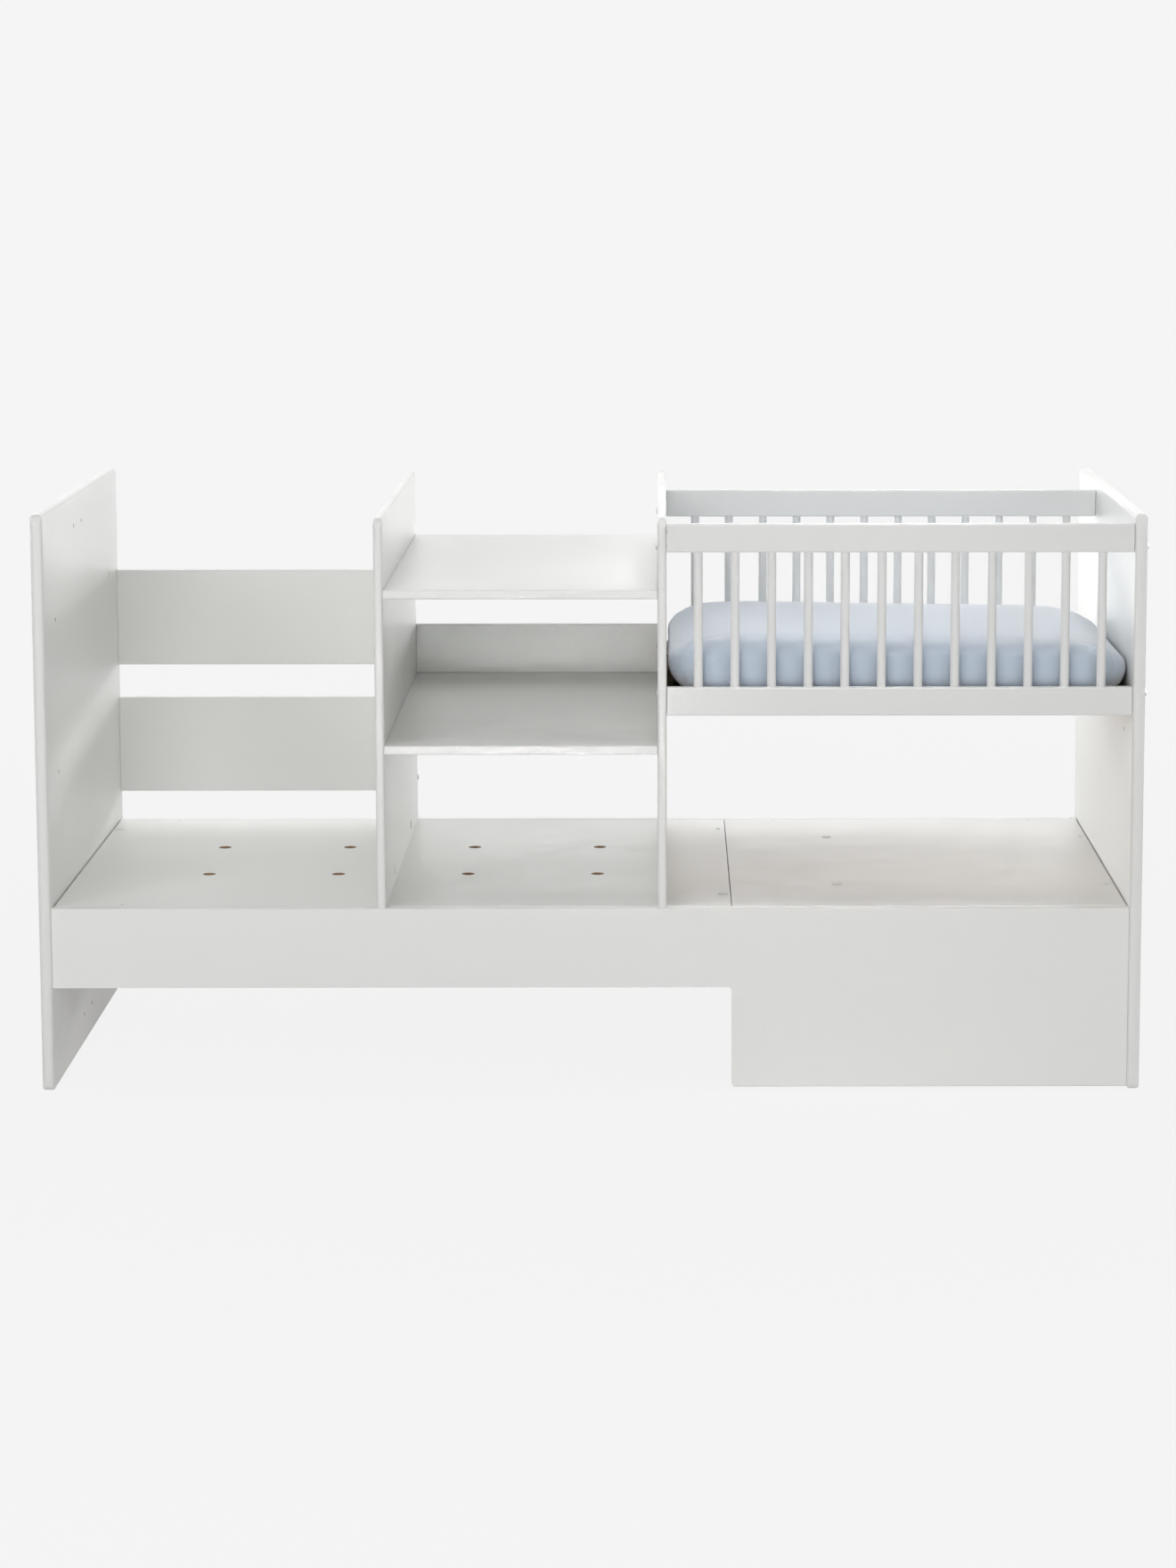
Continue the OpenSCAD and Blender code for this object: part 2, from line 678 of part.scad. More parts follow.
module base_plate_left() {
    color(white)
        difference() {
            base_plate(left_plate_x0, seam_x - seam_gap / 2);
            for (x = vent_xs, y = vent_ys)
                rod_z(plate_z - over, base_top + over, x, y, vent_d);
            for (x = left_screw_xs, y = ledger_ys)
                translate([x, y, base_top]) screw_hole(plate_screw_l);
            for (x = left_cap_xs, y = left_cap_ys)
                capped_screw_hole(x, y);
            for (x = divider_pin_xs, y = divider_cam_ys)
                rod_z(base_top - cam_pin_seat - fit, base_top + over, x, y, bore(cam_pin_d));
        }
}

module base_plate_right() {
    color(white)
        difference() {
            base_plate(seam_x + seam_gap / 2, right_plate_x1);
            for (x = right_screw_xs, y = ledger_ys)
                translate([x, y, base_top]) screw_hole(plate_screw_l);
            for (x = right_cap_xs, y = right_cap_ys)
                capped_screw_hole(x, y);
        }
}

// The sunk hole of a screw that a cover cap hides
module capped_screw_hole(x, y) {
    rod_z(base_top - cap_recess_h, base_top + over, x, y, screw_head_d + cap_recess_play);
    translate([x, y, base_top - cap_recess_h]) screw_hole(plate_screw_l);
}

// A ledger along the front or rear board; side is -1 for the front, 1 for the rear
module long_ledger(side) {
    inner_y = side < 0 ? ledger_front_y : ledger_back_y;
    board_y = side < 0 ? bay_front_y : bay_back_y;
    mid_y = (inner_y + board_y) / 2;
    difference() {
        soft_block(
            [-half + timber_play, min(inner_y, board_y), ledger_z],
            [half - timber_play, max(inner_y, board_y), plate_z],
            [timber_edge_r, 0, 0]
        );
        for (x = concat(left_screw_xs, right_screw_xs))
            translate([x, mid_y, base_top]) screw_hole(plate_screw_l);
        for (x = ledger_screw_xs)
            translate([x, inner_y, ledger_screw_z]) rotate([90 * side, 0, 0]) screw_hole(ledger_screw_l);
        for (b = battens, s = [-1, 1])
            rod_y(inner_y - side * over, inner_y + side * (batten_dowel_seat + fit), b[0] + s * b[1] / 3,
                batten_dowel_z, bore(dowel_d));
    }
}

module front_ledger() {
    color(beech) long_ledger(-1);
}

module rear_ledger() {
    color(beech) long_ledger(1);
}

// A ledger along an end panel; side is -1 on the left, 1 on the right
module end_ledger(side, cap_ys) {
    x_in = side * (half - ledger_w);
    difference() {
        soft_block(
            [min(side * half, x_in), ledger_front_y + timber_play, ledger_z],
            [max(side * half, x_in), ledger_back_y - timber_play, plate_z],
            [0, timber_edge_r, 0]
        );
        for (y = cap_ys)
            translate([side * (half - cap_screw_inset), y, base_top - cap_recess_h])
                screw_hole(plate_screw_l);
        for (y = end_ledger_screw_ys)
            translate([x_in, y, ledger_screw_z]) pointing_x(-side) screw_hole(ledger_screw_l);
    }
}

module left_end_ledger() {
    color(beech) end_ledger(-1, left_cap_ys);
}

module right_end_ledger() {
    color(beech) end_ledger(1, right_cap_ys);
}

// A flat cross batten under the base plates
module cross_batten(b) {
    difference() {
        soft_block(
            [b[0] - b[1] / 2, ledger_front_y + timber_play, plate_z - batten_t],
            [b[0] + b[1] / 2, ledger_back_y - timber_play, plate_z],
            [0, timber_edge_r, 0]
        );
        for (s = [-1, 1], e = [[ledger_front_y, 1], [ledger_back_y, -1]])
            rod_y(e[0] - e[1] * over, e[0] + e[1] * (dowel_l - batten_dowel_seat + fit), b[0] + s * b[1] / 3,
                batten_dowel_z, bore(dowel_d));
    }
}

module seam_batten() {
    color(beech)
        difference() {
            cross_batten(battens[0]);
            for (y = left_cap_ys)
                translate([seam_x - cap_screw_inset, y, base_top - cap_recess_h]) screw_hole(plate_screw_l);
        }
}

module left_divider_batten() {
    color(beech) cross_batten(battens[1]);
}

module right_divider_batten() {
    color(beech) cross_batten(battens[2]);
}

// The storage side panel, notched at the top round the two long ledgers
module storage_side_panel() {
    notch = ledger_w + timber_play;
    y0 = bay_front_y + timber_play;
    y1 = bay_back_y - timber_play;
    color(white)
        difference() {
            translate([storage_panel_x - storage_panel_t / 2, 0, 0])
                rotate([90, 0, 90])
                    linear_extrude(storage_panel_t)
                        polygon([
                            [y0, toe_gap], [y1, toe_gap],
                            [y1, plate_z - notch], [bay_back_y - notch, plate_z - notch],
                            [bay_back_y - notch, plate_z], [bay_front_y + notch, plate_z],
                            [bay_front_y + notch, plate_z - notch], [y0, plate_z - notch]
                        ]);
            for (y = right_cap_ys)
                translate([storage_panel_x, y, base_top - cap_recess_h]) screw_hole(plate_screw_l);
            for (z = storage_dowel_zs) {
                rod_y(y0 - over, bay_front_y + dowel_l - dowel_seat + fit, storage_panel_x, z, bore(dowel_d));
                rod_y(y1 + over, bay_back_y - dowel_l + dowel_seat - fit, storage_panel_x, z, bore(dowel_d));
            }
        }
}

// A divider whose left face is at x: round corners above, square ones on the base
module divider_board(x) {
    below = 2 * panel_corner_r;
    intersection() {
        soft_block(
            [x, front_y, base_top - below],
            [x + divider_t, back_y, divider_top],
            [panel_corner_r, divider_edge_r, divider_edge_r]
        );
        translate([x, front_y, base_top]) cube([divider_t, back_y - front_y, divider_top - base_top]);
    }
}

// Cam holes low on the face of a divider that looks into the changer bay.
// face_x is that face, into is the direction from it into the board.
module divider_cam_holes(face_x, into) {
    for (y = divider_cam_ys) {
        translate([face_x, y, divider_cam_z]) pointing_x(-into) cam_hole();
        rod_z(base_top - over, divider_cam_z, face_x + into * cam_pin_depth, y, bore(cam_pin_d));
    }
}

// Blind holes in a divider for the pins of the shelves' cam locks
module shelf_pin_holes(face_x, into) {
    for (y = shelf_cam_ys, top = [changer_height, lower_shelf_height])
        rod_x(face_x - into * over, face_x + into * (cam_pin_seat + fit), y, top - shelf_t + cam_pin_depth,
            bore(cam_pin_d));
}

module divider_left() {
    color(white)
        difference() {
            divider_board(divider_left_x);
            for (z = slat_bolt_zs)
                rod_x(divider_left_x - over, changer_x0 + over, slat_y, z, bore(bolt_d));
            for (z = slat_dowel_zs)
                rod_x(divider_left_x - over, divider_left_x + dowel_seat + fit, slat_y, z, bore(dowel_d));
            divider_cam_holes(changer_x0, -1);
            shelf_pin_holes(changer_x0, -1);
        }
}

module divider_right() {
    color(white)
        difference() {
            divider_board(divider_right_x);
            for (y = rail_ys, z = rail_bolt_zs)
                rod_x(divider_right_x - over, crib_x0 + over, y, z, bore(bolt_d));
            for (y = rail_ys, z = rail_dowel_zs)
                rod_x(crib_x0 - dowel_seat - fit, crib_x0 + over, y, z, bore(dowel_d));
            divider_cam_holes(divider_right_x, 1);
            shelf_pin_holes(divider_right_x, 1);
            end_strip_pilots(crib_x0, -1);
        }
}

// A shelf of the changer bay with its top at z, joined to both dividers by cam locks
module shelf(top) {
    difference() {
        soft_block(
            [changer_x0, front_y, top - shelf_t],
            [divider_right_x, back_y, top],
            [board_edge_r, board_end_r, board_end_r]
        );
        for (y = shelf_cam_ys, end = [0, 1]) {
            out = end == 0 ? -1 : 1;
            face_x = end == 0 ? changer_x0 : divider_right_x;
            cam_x = face_x - out * cam_setback;
            translate([cam_x, y, top - shelf_t]) rotate([180, 0, 0]) cam_hole();
            rod_x(cam_x, face_x + out * over, y, top - shelf_t + cam_pin_depth, bore(cam_pin_d));
        }
    }
}

module changer_top_shelf() {
    color(white) shelf(changer_height);
}

module lower_shelf() {
    color(white)
        difference() {
            shelf(lower_shelf_height);
            for (x = back_panel_screw_xs)
                translate([x, back_panel_y, lower_shelf_height - shelf_t])
                    rotate([180, 0, 0]) screw_hole(back_panel_screw_l);
        }
}

module shelf_back_panel() {
    color(white)
        difference() {
            soft_block(
                [changer_x0, back_y - back_panel_t, lower_shelf_height],
                [divider_right_x, back_y, lower_shelf_height + back_panel_h],
                [board_edge_r, board_end_r, board_end_r]
            );
            for (x = back_panel_screw_xs)
                rod_z(lower_shelf_height - over, lower_shelf_height + back_panel_screw_grip + fit,
                    x, back_panel_y, bore(screw_d));
        }
}

// A back slat with its lower edge at z; bolt_z and dowel_z are its two joints
module back_slat(z, bolt_z, dowel_z) {
    ends = [[-half, 1], [divider_left_x, -1]];
    difference() {
        soft_block(
            [-half, back_y - slat_t, z],
            [divider_left_x, back_y, z + slat_h],
            [board_edge_r, board_end_r, board_end_r]
        );
        for (e = ends) {
            rod_x(e[0] - e[1] * over, e[0] + e[1] * (bolt_reach + over), slat_y, bolt_z, bore(bolt_d));
            rod_x(e[0] - e[1] * over, e[0] + e[1] * (dowel_l - dowel_seat + fit), slat_y, dowel_z,
                bore(dowel_d));
            rod_y(slat_y - nut_l / 2 - fit, back_y + over, e[0] + e[1] * nut_setback, bolt_z, bore(nut_d));
        }
    }
}

module upper_back_slat() {
    color(white) back_slat(upper_slat_z, slat_bolt_zs[0], slat_dowel_zs[0]);
}

module lower_back_slat() {
    color(white) back_slat(lower_slat_z, slat_bolt_zs[1], slat_dowel_zs[1]);
}

// A crib rail about y with its lower edge at z. up is 1 on a top rail, whose bars
// and nuts come in from below, and -1 on a bottom rail, where they come in from above.
module crib_rail(y, z, up) {
    inner_z = up > 0 ? z : z + rail_h;
    bolt_z = inner_z + up * rail_bolt_edge;
    dowel_z = inner_z + up * (rail_h - rail_dowel_edge);
    ends = [[crib_x0, 1], [half, -1]];
    difference() {
        soft_block(
            [crib_x0 + rail_end_play, y - rail_t / 2, z],
            [half - rail_end_play, y + rail_t / 2, z + rail_h],
            [rail_r, rail_end_r, rail_end_r]
        );
        for (x = bar_xs)
            rod_z(inner_z - up * over, inner_z + up * (bar_seat + fit), x, y, bore(bar_d));
        for (e = ends) {
            rod_x(e[0], e[0] + e[1] * (bolt_reach + over), y, bolt_z, bore(bolt_d));
            rod_x(e[0], e[0] + e[1] * (dowel_l - dowel_seat + fit), y, dowel_z, bore(dowel_d));
            rod_z(inner_z - up * over, bolt_z + up * (nut_l / 2 + fit), e[0] + e[1] * nut_setback, y,
                bore(nut_d));
        }
        if (up < 0)
            rail_strip_pilots(y);
    }
}

// Pilot holes in a bottom rail for the screws of the long floor strip
module rail_strip_pilots(y) {
    out = y < crib_mid_y ? -1 : 1;
    face_y = y - out * rail_t / 2;
    for (x = strip_screw_xs)
        rod_y(face_y - out * over, face_y + out * (strip_screw_grip + fit), x, strip_mid_z, bore(screw_d));
}

module crib_front_top_rail() {
    color(white) crib_rail(front_rail_y, top_rail_z, 1);
}

module crib_front_bottom_rail() {
    color(white) crib_rail(front_rail_y, crib_bottom, -1);
}

module crib_back_top_rail() {
    color(white) crib_rail(back_rail_y, top_rail_z, 1);
}

module crib_back_bottom_rail() {
    color(white) crib_rail(back_rail_y, crib_bottom, -1);
}

// The round bars of one crib side, each with a bevel at both ends
module crib_bars(y) {
    bevel = 1;
    z0 = bottom_rail_top - bar_seat;
    z1 = top_rail_z + bar_seat;
    for (x = bar_xs)
        translate([x, y, 0])
            rotate_extrude() polygon([
                [0, z0], [bar_d / 2 - bevel, z0], [bar_d / 2, z0 + bevel],
                [bar_d / 2, z1 - bevel], [bar_d / 2 - bevel, z1], [0, z1]
            ]);
}

module crib_front_bars() {
    color(white) crib_bars(front_rail_y);
}

module crib_back_bars() {
    color(white) crib_bars(back_rail_y);
}

module crib_floor() {
    color(raw_board)
        soft_block(
            [crib_x0 + floor_play, crib_mid_y - crib_inner_depth / 2 + floor_play, floor_z],
            [half - floor_play, crib_mid_y + crib_inner_depth / 2 - floor_play, floor_z + floor_t],
            [timber_edge_r, 0, 0]
        );
}

// Four strips round the crib, screwed to the rails, the divider and the end panel
module crib_floor_strips() {
    y0 = crib_mid_y - crib_inner_depth / 2;
    y1 = crib_mid_y + crib_inner_depth / 2;
    color(beech)
        difference() {
            union() {
                for (y = [y0, y1 - strip_w])
                    translate([crib_x0 + rail_end_play, y, crib_bottom])
                        cube([crib_bay - 2 * rail_end_play, strip_w, strip_w]);
                for (x = [crib_x0, half - strip_w])
                    translate([x, y0 + strip_w + floor_play, crib_bottom])
                        cube([strip_w, crib_inner_depth - 2 * (strip_w + floor_play), strip_w]);
            }
            strip_screw_places() screw_hole(strip_screw_l);
        }
}

// Puts a thing at each screw of the floor strips, pointing back out of the strip
module strip_screw_places() {
    for (x = strip_screw_xs, out = [-1, 1])
        translate([x, crib_mid_y + out * (crib_inner_depth / 2 - strip_w), strip_mid_z])
            rotate([90 * out, 0, 0]) children();
    for (y = strip_screw_ys, e = [[crib_x0 + strip_w, 1], [half - strip_w, -1]])
        translate([e[0], y, strip_mid_z]) pointing_x(e[1]) children();
}

module floor_strip_screws() {
    color(steel) strip_screw_places() screw(strip_screw_l);
}

// One ring of the mattress, drawn in by the inset e, at height z
function mattress_ring(a, b, e, z) =
    let (r = max(mattress_corner_r - e, 2), steps = 6)
    [for (q = [0 : 3], i = [0 : steps])
        let (t = 90 * q + 90 * i / steps, sx = q == 0 || q == 3 ? 1 : -1, sy = q < 2 ? 1 : -1)
        [sx * (a - e - r) + r * cos(t), sy * (b - e - r) + r * sin(t), z]];

// The mattress: flat below, drawn in under its widest line, and with long soft shoulders
module mattress() {
    a = crib_bay / 2 - mattress_end_play;
    b = crib_inner_depth / 2 - mattress_side_play;
    r = mattress_lower_r;
    rise = mattress_t - mattress_crown - r;
    middle = b - mattress_shoulder;
    power = 2 / mattress_roundness;
    profile = concat(
        [for (u = [0.1, 0.55]) [b - (b - r) * u, 0]],
        [for (t = [-90 : 15 : 0]) [r * (1 - cos(t)), r * (1 + sin(t))]],
        [for (t = [10 : 10 : 90])
            [mattress_shoulder * (1 - pow(cos(t), power)), r + rise * pow(sin(t), power)]],
        [for (u = [0.75, 0.5, 0.25, 0.05]) [b - middle * u, mattress_t - mattress_crown * u * u]]
    );
    rings = [for (p = profile) mattress_ring(a, b, p[0], p[1])];
    n = len(rings[0]);
    last = len(rings) - 1;
    faces = concat(
        [[for (i = [0 : n - 1]) i]],
        [for (k = [0 : last - 1], i = [0 : n - 1]) let (j = (i + 1) % n)
            [k * n + i, (k + 1) * n + i, k * n + j]],
        [for (k = [0 : last - 1], i = [0 : n - 1]) let (j = (i + 1) % n)
            [k * n + j, (k + 1) * n + i, (k + 1) * n + j]],
        [[for (i = [n - 1 : -1 : 0]) last * n + i]]
    );
    color(sheet_blue)
        translate([(crib_x0 + half) / 2, crib_mid_y, mattress_z])
            polyhedron(points = [for (ring = rings, p = ring) p], faces = faces, convexity = 2);
}

module crib_bolts_right() {
    color(steel)
        for (y = rail_ys, z = rail_bolt_zs)
            translate([outer_x, y, z]) pointing_x(1) bolt(panel_t + bolt_reach);
}

module crib_bolts_left() {
    color(steel)
        for (y = rail_ys, z = rail_bolt_zs)
            translate([divider_right_x, y, z]) pointing_x(-1) bolt(divider_t + bolt_reach);
}

module slat_bolts_left() {
    color(steel)
        for (z = slat_bolt_zs)
            translate([-outer_x, slat_y, z]) pointing_x(-1) bolt(panel_t + bolt_reach);
}

module slat_bolts_right() {
    color(steel)
        for (z = slat_bolt_zs)
            translate([changer_x0, slat_y, z]) pointing_x(1) bolt(divider_t + bolt_reach);
}

module crib_barrel_nuts() {
    color(zinc)
        for (x = [crib_x0 + nut_setback, half - nut_setback], y = rail_ys, z = rail_bolt_zs)
            difference() {
                rod_z(z - nut_l / 2, z + nut_l / 2, x, y, nut_d);
                rod_x(x - nut_d, x + nut_d, y, z, bore(bolt_d));
            }
}

module slat_barrel_nuts() {
    color(zinc)
        for (x = [-half + nut_setback, divider_left_x - nut_setback], z = slat_bolt_zs)
            difference() {
                rod_y(slat_y - nut_l / 2, slat_y + nut_l / 2, x, z, nut_d);
                rod_x(x - nut_d, x + nut_d, slat_y, z, bore(bolt_d));
            }
}

module crib_dowels() {
    color(beech)
        for (y = rail_ys, z = rail_dowel_zs) {
            rod_x(crib_x0 - dowel_seat, crib_x0 - dowel_seat + dowel_l, y, z, dowel_d);
            rod_x(half + dowel_seat - dowel_l, half + dowel_seat, y, z, dowel_d);
        }
}

module slat_dowels() {
    color(beech)
        for (z = slat_dowel_zs) {
            rod_x(-half - dowel_seat, -half - dowel_seat + dowel_l, slat_y, z, dowel_d);
            rod_x(divider_left_x + dowel_seat - dowel_l, divider_left_x + dowel_seat, slat_y, z, dowel_d);
        }
}

module board_cam_locks() {
    color(zinc)
        for (c = board_cams)
            translate([c[0] * (half - cam_setback), c[1] < 0 ? bay_front_y : bay_back_y, c[2]])
                rotate([90 * c[1], 0, 0]) rotate([0, 0, c[0] > 0 ? 0 : 180]) cam_lock();
}

module board_cam_pins() {
    color(steel)
        for (c = board_cams)
            rod_x(c[0] * (half - cam_setback), c[0] * (half + cam_pin_seat),
                c[1] < 0 ? board_pin_ys[0] : board_pin_ys[1], c[2], cam_pin_d);
}

module shelf_cam_locks() {
    color(zinc)
        for (y = shelf_cam_ys, top = [changer_height, lower_shelf_height]) {
            translate([changer_x0 + cam_setback, y, top - shelf_t]) rotate([180, 0, 180]) cam_lock();
            translate([divider_right_x - cam_setback, y, top - shelf_t]) rotate([180, 0, 0]) cam_lock();
        }
}

module shelf_cam_pins() {
    color(steel)
        for (y = shelf_cam_ys, top = [changer_height, lower_shelf_height]) {
            z = top - shelf_t + cam_pin_depth;
            rod_x(changer_x0 - cam_pin_seat, changer_x0 + cam_setback, y, z, cam_pin_d);
            rod_x(divider_right_x - cam_setback, divider_right_x + cam_pin_seat, y, z, cam_pin_d);
        }
}

// Puts a thing on the changer's side of both dividers at each cam lock
module divider_cam_places() {
    for (y = divider_cam_ys, f = [[changer_x0, 1], [divider_right_x, -1]])
        translate([f[0], y, divider_cam_z]) pointing_x(f[1]) rotate([0, 0, f[1] > 0 ? 0 : 180]) children();
}

module divider_cam_locks() {
    color(zinc) divider_cam_places() cam_lock();
}

module divider_cam_pins() {
    color(steel)
        for (y = divider_cam_ys, x = divider_pin_xs)
            rod_z(base_top - cam_pin_seat, divider_cam_z, x, y, cam_pin_d);
}

module divider_cover_caps() {
    color(cap_white) divider_cam_places() cover_cap();
}

module plate_screws() {
    color(steel)
        for (x = concat(left_screw_xs, right_screw_xs), y = ledger_ys)
            translate([x, y, base_top]) screw(plate_screw_l);
}

module capped_screws() {
    color(steel)
        for (p = capped_places)
            translate([p[0], p[1], base_top - cap_recess_h]) screw(plate_screw_l);
}

module plate_cover_caps() {
    color(cap_white)
        for (p = capped_places)
            if (len([for (b = bare_places) if (b == p) b]) == 0)
                translate([p[0], p[1], base_top]) cover_cap();
}

module ledger_screws() {
    color(steel) {
        for (x = ledger_screw_xs) {
            translate([x, ledger_front_y, ledger_screw_z]) rotate([-90, 0, 0]) screw(ledger_screw_l);
            translate([x, ledger_back_y, ledger_screw_z]) rotate([90, 0, 0]) screw(ledger_screw_l);
        }
        for (y = end_ledger_screw_ys, side = [-1, 1])
            translate([side * (half - ledger_w), y, ledger_screw_z]) pointing_x(-side) screw(ledger_screw_l);
    }
}

module batten_dowels() {
    color(beech)
        for (b = battens, s = [-1, 1], e = [[ledger_front_y, 1], [ledger_back_y, -1]])
            rod_y(e[0] - e[1] * batten_dowel_seat, e[0] + e[1] * (dowel_l - batten_dowel_seat),
                b[0] + s * b[1] / 3, batten_dowel_z, dowel_d);
}

module storage_panel_dowels() {
    color(beech)
        for (z = storage_dowel_zs) {
            rod_y(bay_front_y - dowel_seat, bay_front_y - dowel_seat + dowel_l, storage_panel_x, z, dowel_d);
            rod_y(bay_back_y + dowel_seat - dowel_l, bay_back_y + dowel_seat, storage_panel_x, z, dowel_d);
        }
}

module back_panel_screws() {
    color(steel)
        for (x = back_panel_screw_xs)
            translate([x, back_panel_y, lower_shelf_height - shelf_t])
                rotate([180, 0, 0]) screw(back_panel_screw_l);
}

left_end_panel();
right_end_panel();
front_board();
rear_board();
base_plate_left();
base_plate_right();
front_ledger();
rear_ledger();
left_end_ledger();
right_end_ledger();
seam_batten();
left_divider_batten();
right_divider_batten();
storage_side_panel();
divider_left();
divider_right();
changer_top_shelf();
lower_shelf();
shelf_back_panel();
upper_back_slat();
lower_back_slat();
crib_front_top_rail();
crib_front_bottom_rail();
crib_back_top_rail();
crib_back_bottom_rail();
crib_front_bars();
crib_back_bars();
crib_floor();
crib_floor_strips();
mattress();
crib_bolts_right();
crib_bolts_left();
slat_bolts_left();
slat_bolts_right();
crib_barrel_nuts();
slat_barrel_nuts();
crib_dowels();
slat_dowels();
board_cam_locks();
board_cam_pins();
shelf_cam_locks();
shelf_cam_pins();
divider_cam_locks();
divider_cam_pins();
divider_cover_caps();
plate_screws();
capped_screws();
plate_cover_caps();
ledger_screws();
batten_dowels();
storage_panel_dowels();
back_panel_screws();
floor_strip_screws();
panel_hole_cap();
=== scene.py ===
# %% [markdown]
# # A crib with an attached changer
#
# This lesson dresses a finished construction model. The model is already made of separate
# boards, rails, bars and fittings, each in its true place, so nothing is moved here. What
# is left is what the eye sees: the white facing of the boards, the lacquer on the bars,
# the bare beech below, the metal and plastic fittings, and the soft mattress in its sheet.

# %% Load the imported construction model
import json
import math
import bpy
import numpy as np
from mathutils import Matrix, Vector
from mathutils.bvhtree import BVHTree


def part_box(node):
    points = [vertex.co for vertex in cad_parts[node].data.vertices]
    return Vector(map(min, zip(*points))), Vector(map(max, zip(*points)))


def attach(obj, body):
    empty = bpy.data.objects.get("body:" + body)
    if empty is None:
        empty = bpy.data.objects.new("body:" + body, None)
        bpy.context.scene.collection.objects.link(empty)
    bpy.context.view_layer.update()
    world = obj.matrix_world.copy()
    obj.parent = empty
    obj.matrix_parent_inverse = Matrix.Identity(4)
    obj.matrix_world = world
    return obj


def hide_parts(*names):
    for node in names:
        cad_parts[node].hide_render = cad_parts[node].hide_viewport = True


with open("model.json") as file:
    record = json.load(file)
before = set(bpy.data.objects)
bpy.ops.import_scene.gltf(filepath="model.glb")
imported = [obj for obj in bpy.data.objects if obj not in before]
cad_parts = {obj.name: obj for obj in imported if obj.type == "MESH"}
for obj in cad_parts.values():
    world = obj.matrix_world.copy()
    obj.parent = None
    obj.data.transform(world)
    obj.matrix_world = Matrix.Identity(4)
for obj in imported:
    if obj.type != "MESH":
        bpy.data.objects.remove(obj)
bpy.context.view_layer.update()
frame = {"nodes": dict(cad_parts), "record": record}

furniture = frame["nodes"]

# %% [markdown]
# ## The camera
#
# The crib was photographed a little from the right of its middle, at the eye height of a
# standing adult and from seven metres away, so the boards look nearly square. The picture
# was cut off centre afterwards, so the camera has a small shift instead of a turn: a turn
# would make the upright boards lean.

# %% The camera that took the picture
PICTURE_WIDTH, PICTURE_HEIGHT = 1320, 1760
FOCAL_PIXELS = 4435.67
VANISHING_CENTRE = (773.38, 772.26)

lens = bpy.data.cameras.new("picture_camera")
lens.sensor_fit = "AUTO"
lens.sensor_width = 36.0
lens.lens = FOCAL_PIXELS / PICTURE_HEIGHT * lens.sensor_width
lens.shift_x = (PICTURE_WIDTH / 2 - VANISHING_CENTRE[0]) / PICTURE_HEIGHT
lens.shift_y = (VANISHING_CENTRE[1] - PICTURE_HEIGHT / 2) / PICTURE_HEIGHT
lens.clip_end = 100
camera = bpy.data.objects.new("picture_camera", lens)
camera.location = (0.1268, -7.3263, 1.7105)
camera.rotation_euler = (math.radians(81.804), 0.0, math.radians(-0.392))
bpy.context.scene.collection.objects.link(camera)
bpy.context.scene.camera = camera
bpy.context.scene.view_settings.view_transform = "Standard"
print("lens", round(lens.lens, 2), "mm, shift", round(lens.shift_x, 4), round(lens.shift_y, 4))

# %% [markdown]
# ## Building node trees by hand
#
# A material in Blender is a small tree of nodes. A few helpers keep the lesson readable:
# they place a node and feed its inputs, do a single sum, or make a noise. The last one
# opens a node group, which is a reusable sub-tree with named inputs and outputs.

# %% Helpers for node trees
COLOUR, NUMBER, VECTOR = "NodeSocketColor", "NodeSocketFloat", "NodeSocketVector"
PATTERN = [("Color", COLOUR), ("Height", NUMBER)]
FINISH = [("Color", COLOUR), ("Roughness", NUMBER), ("Height", NUMBER)]


def feed(tree, slot, value):
    """Gives an input a plain value, or links another node's output to it."""
    if isinstance(value, bpy.types.NodeSocket):
        tree.links.new(value, slot)
    else:
        slot.default_value = value


def wire(tree, node, **values):
    """Feeds several inputs of a node; an underscore in a name stands for a space."""
    for name, value in values.items():
        feed(tree, node.inputs[name.replace("_", " ")], value)


def place(tree, kind, wires=None, **settings):
    """Adds one node; wires maps an input to a plain value or to another node's output."""
    node = tree.nodes.new(kind)
    for key, value in settings.items():
        setattr(node, key, value)
    for socket, value in (wires or {}).items():
        feed(tree, node.inputs[socket], value)
    return node


def reckon(tree, operation, *terms, clamp=False):
    """One sum on numbers: the output of a Math node fed with the terms in order."""
    wires = dict(enumerate(terms))
    return place(tree, "ShaderNodeMath", wires, operation=operation, use_clamp=clamp).outputs[0]


def carry(tree, operation, *terms):
    """One sum on vectors or colours: the vector output of a Vector Math node."""
    node = place(tree, "ShaderNodeVectorMath", operation=operation)
    for slot, term in zip([s for s in node.inputs if s.enabled], terms):
        feed(tree, slot, term)
    return node.outputs[0]


def scaled(tree, vector, factor):
    """A vector or a colour times a number."""
    wires = {0: vector, 3: factor}
    return place(tree, "ShaderNodeVectorMath", wires, operation="SCALE").outputs[0]


def blend_colours(tree, amount, first, second):
    """A colour between two: amount 0 gives the first and 1 gives the second."""
    node = place(tree, "ShaderNodeMix", data_type="RGBA", blend_type="MIX")
    for name, value in (("Factor_Float", amount), ("A_Color", first), ("B_Color", second)):
        feed(tree, next(s for s in node.inputs if s.identifier == name), value)
    return next(s for s in node.outputs if s.identifier == "Result_Color")


def here(tree):
    """The place on the object, in metres."""
    return place(tree, "ShaderNodeTexCoord").outputs["Object"]


def noise(tree, spot, scale, detail, **more):
    """Soft blobs of nought to one, about as many to the metre as the scale says."""
    wires = {"Vector": spot, "Scale": scale, "Detail": detail, **more}
    return place(tree, "ShaderNodeTexNoise", wires).outputs[0]


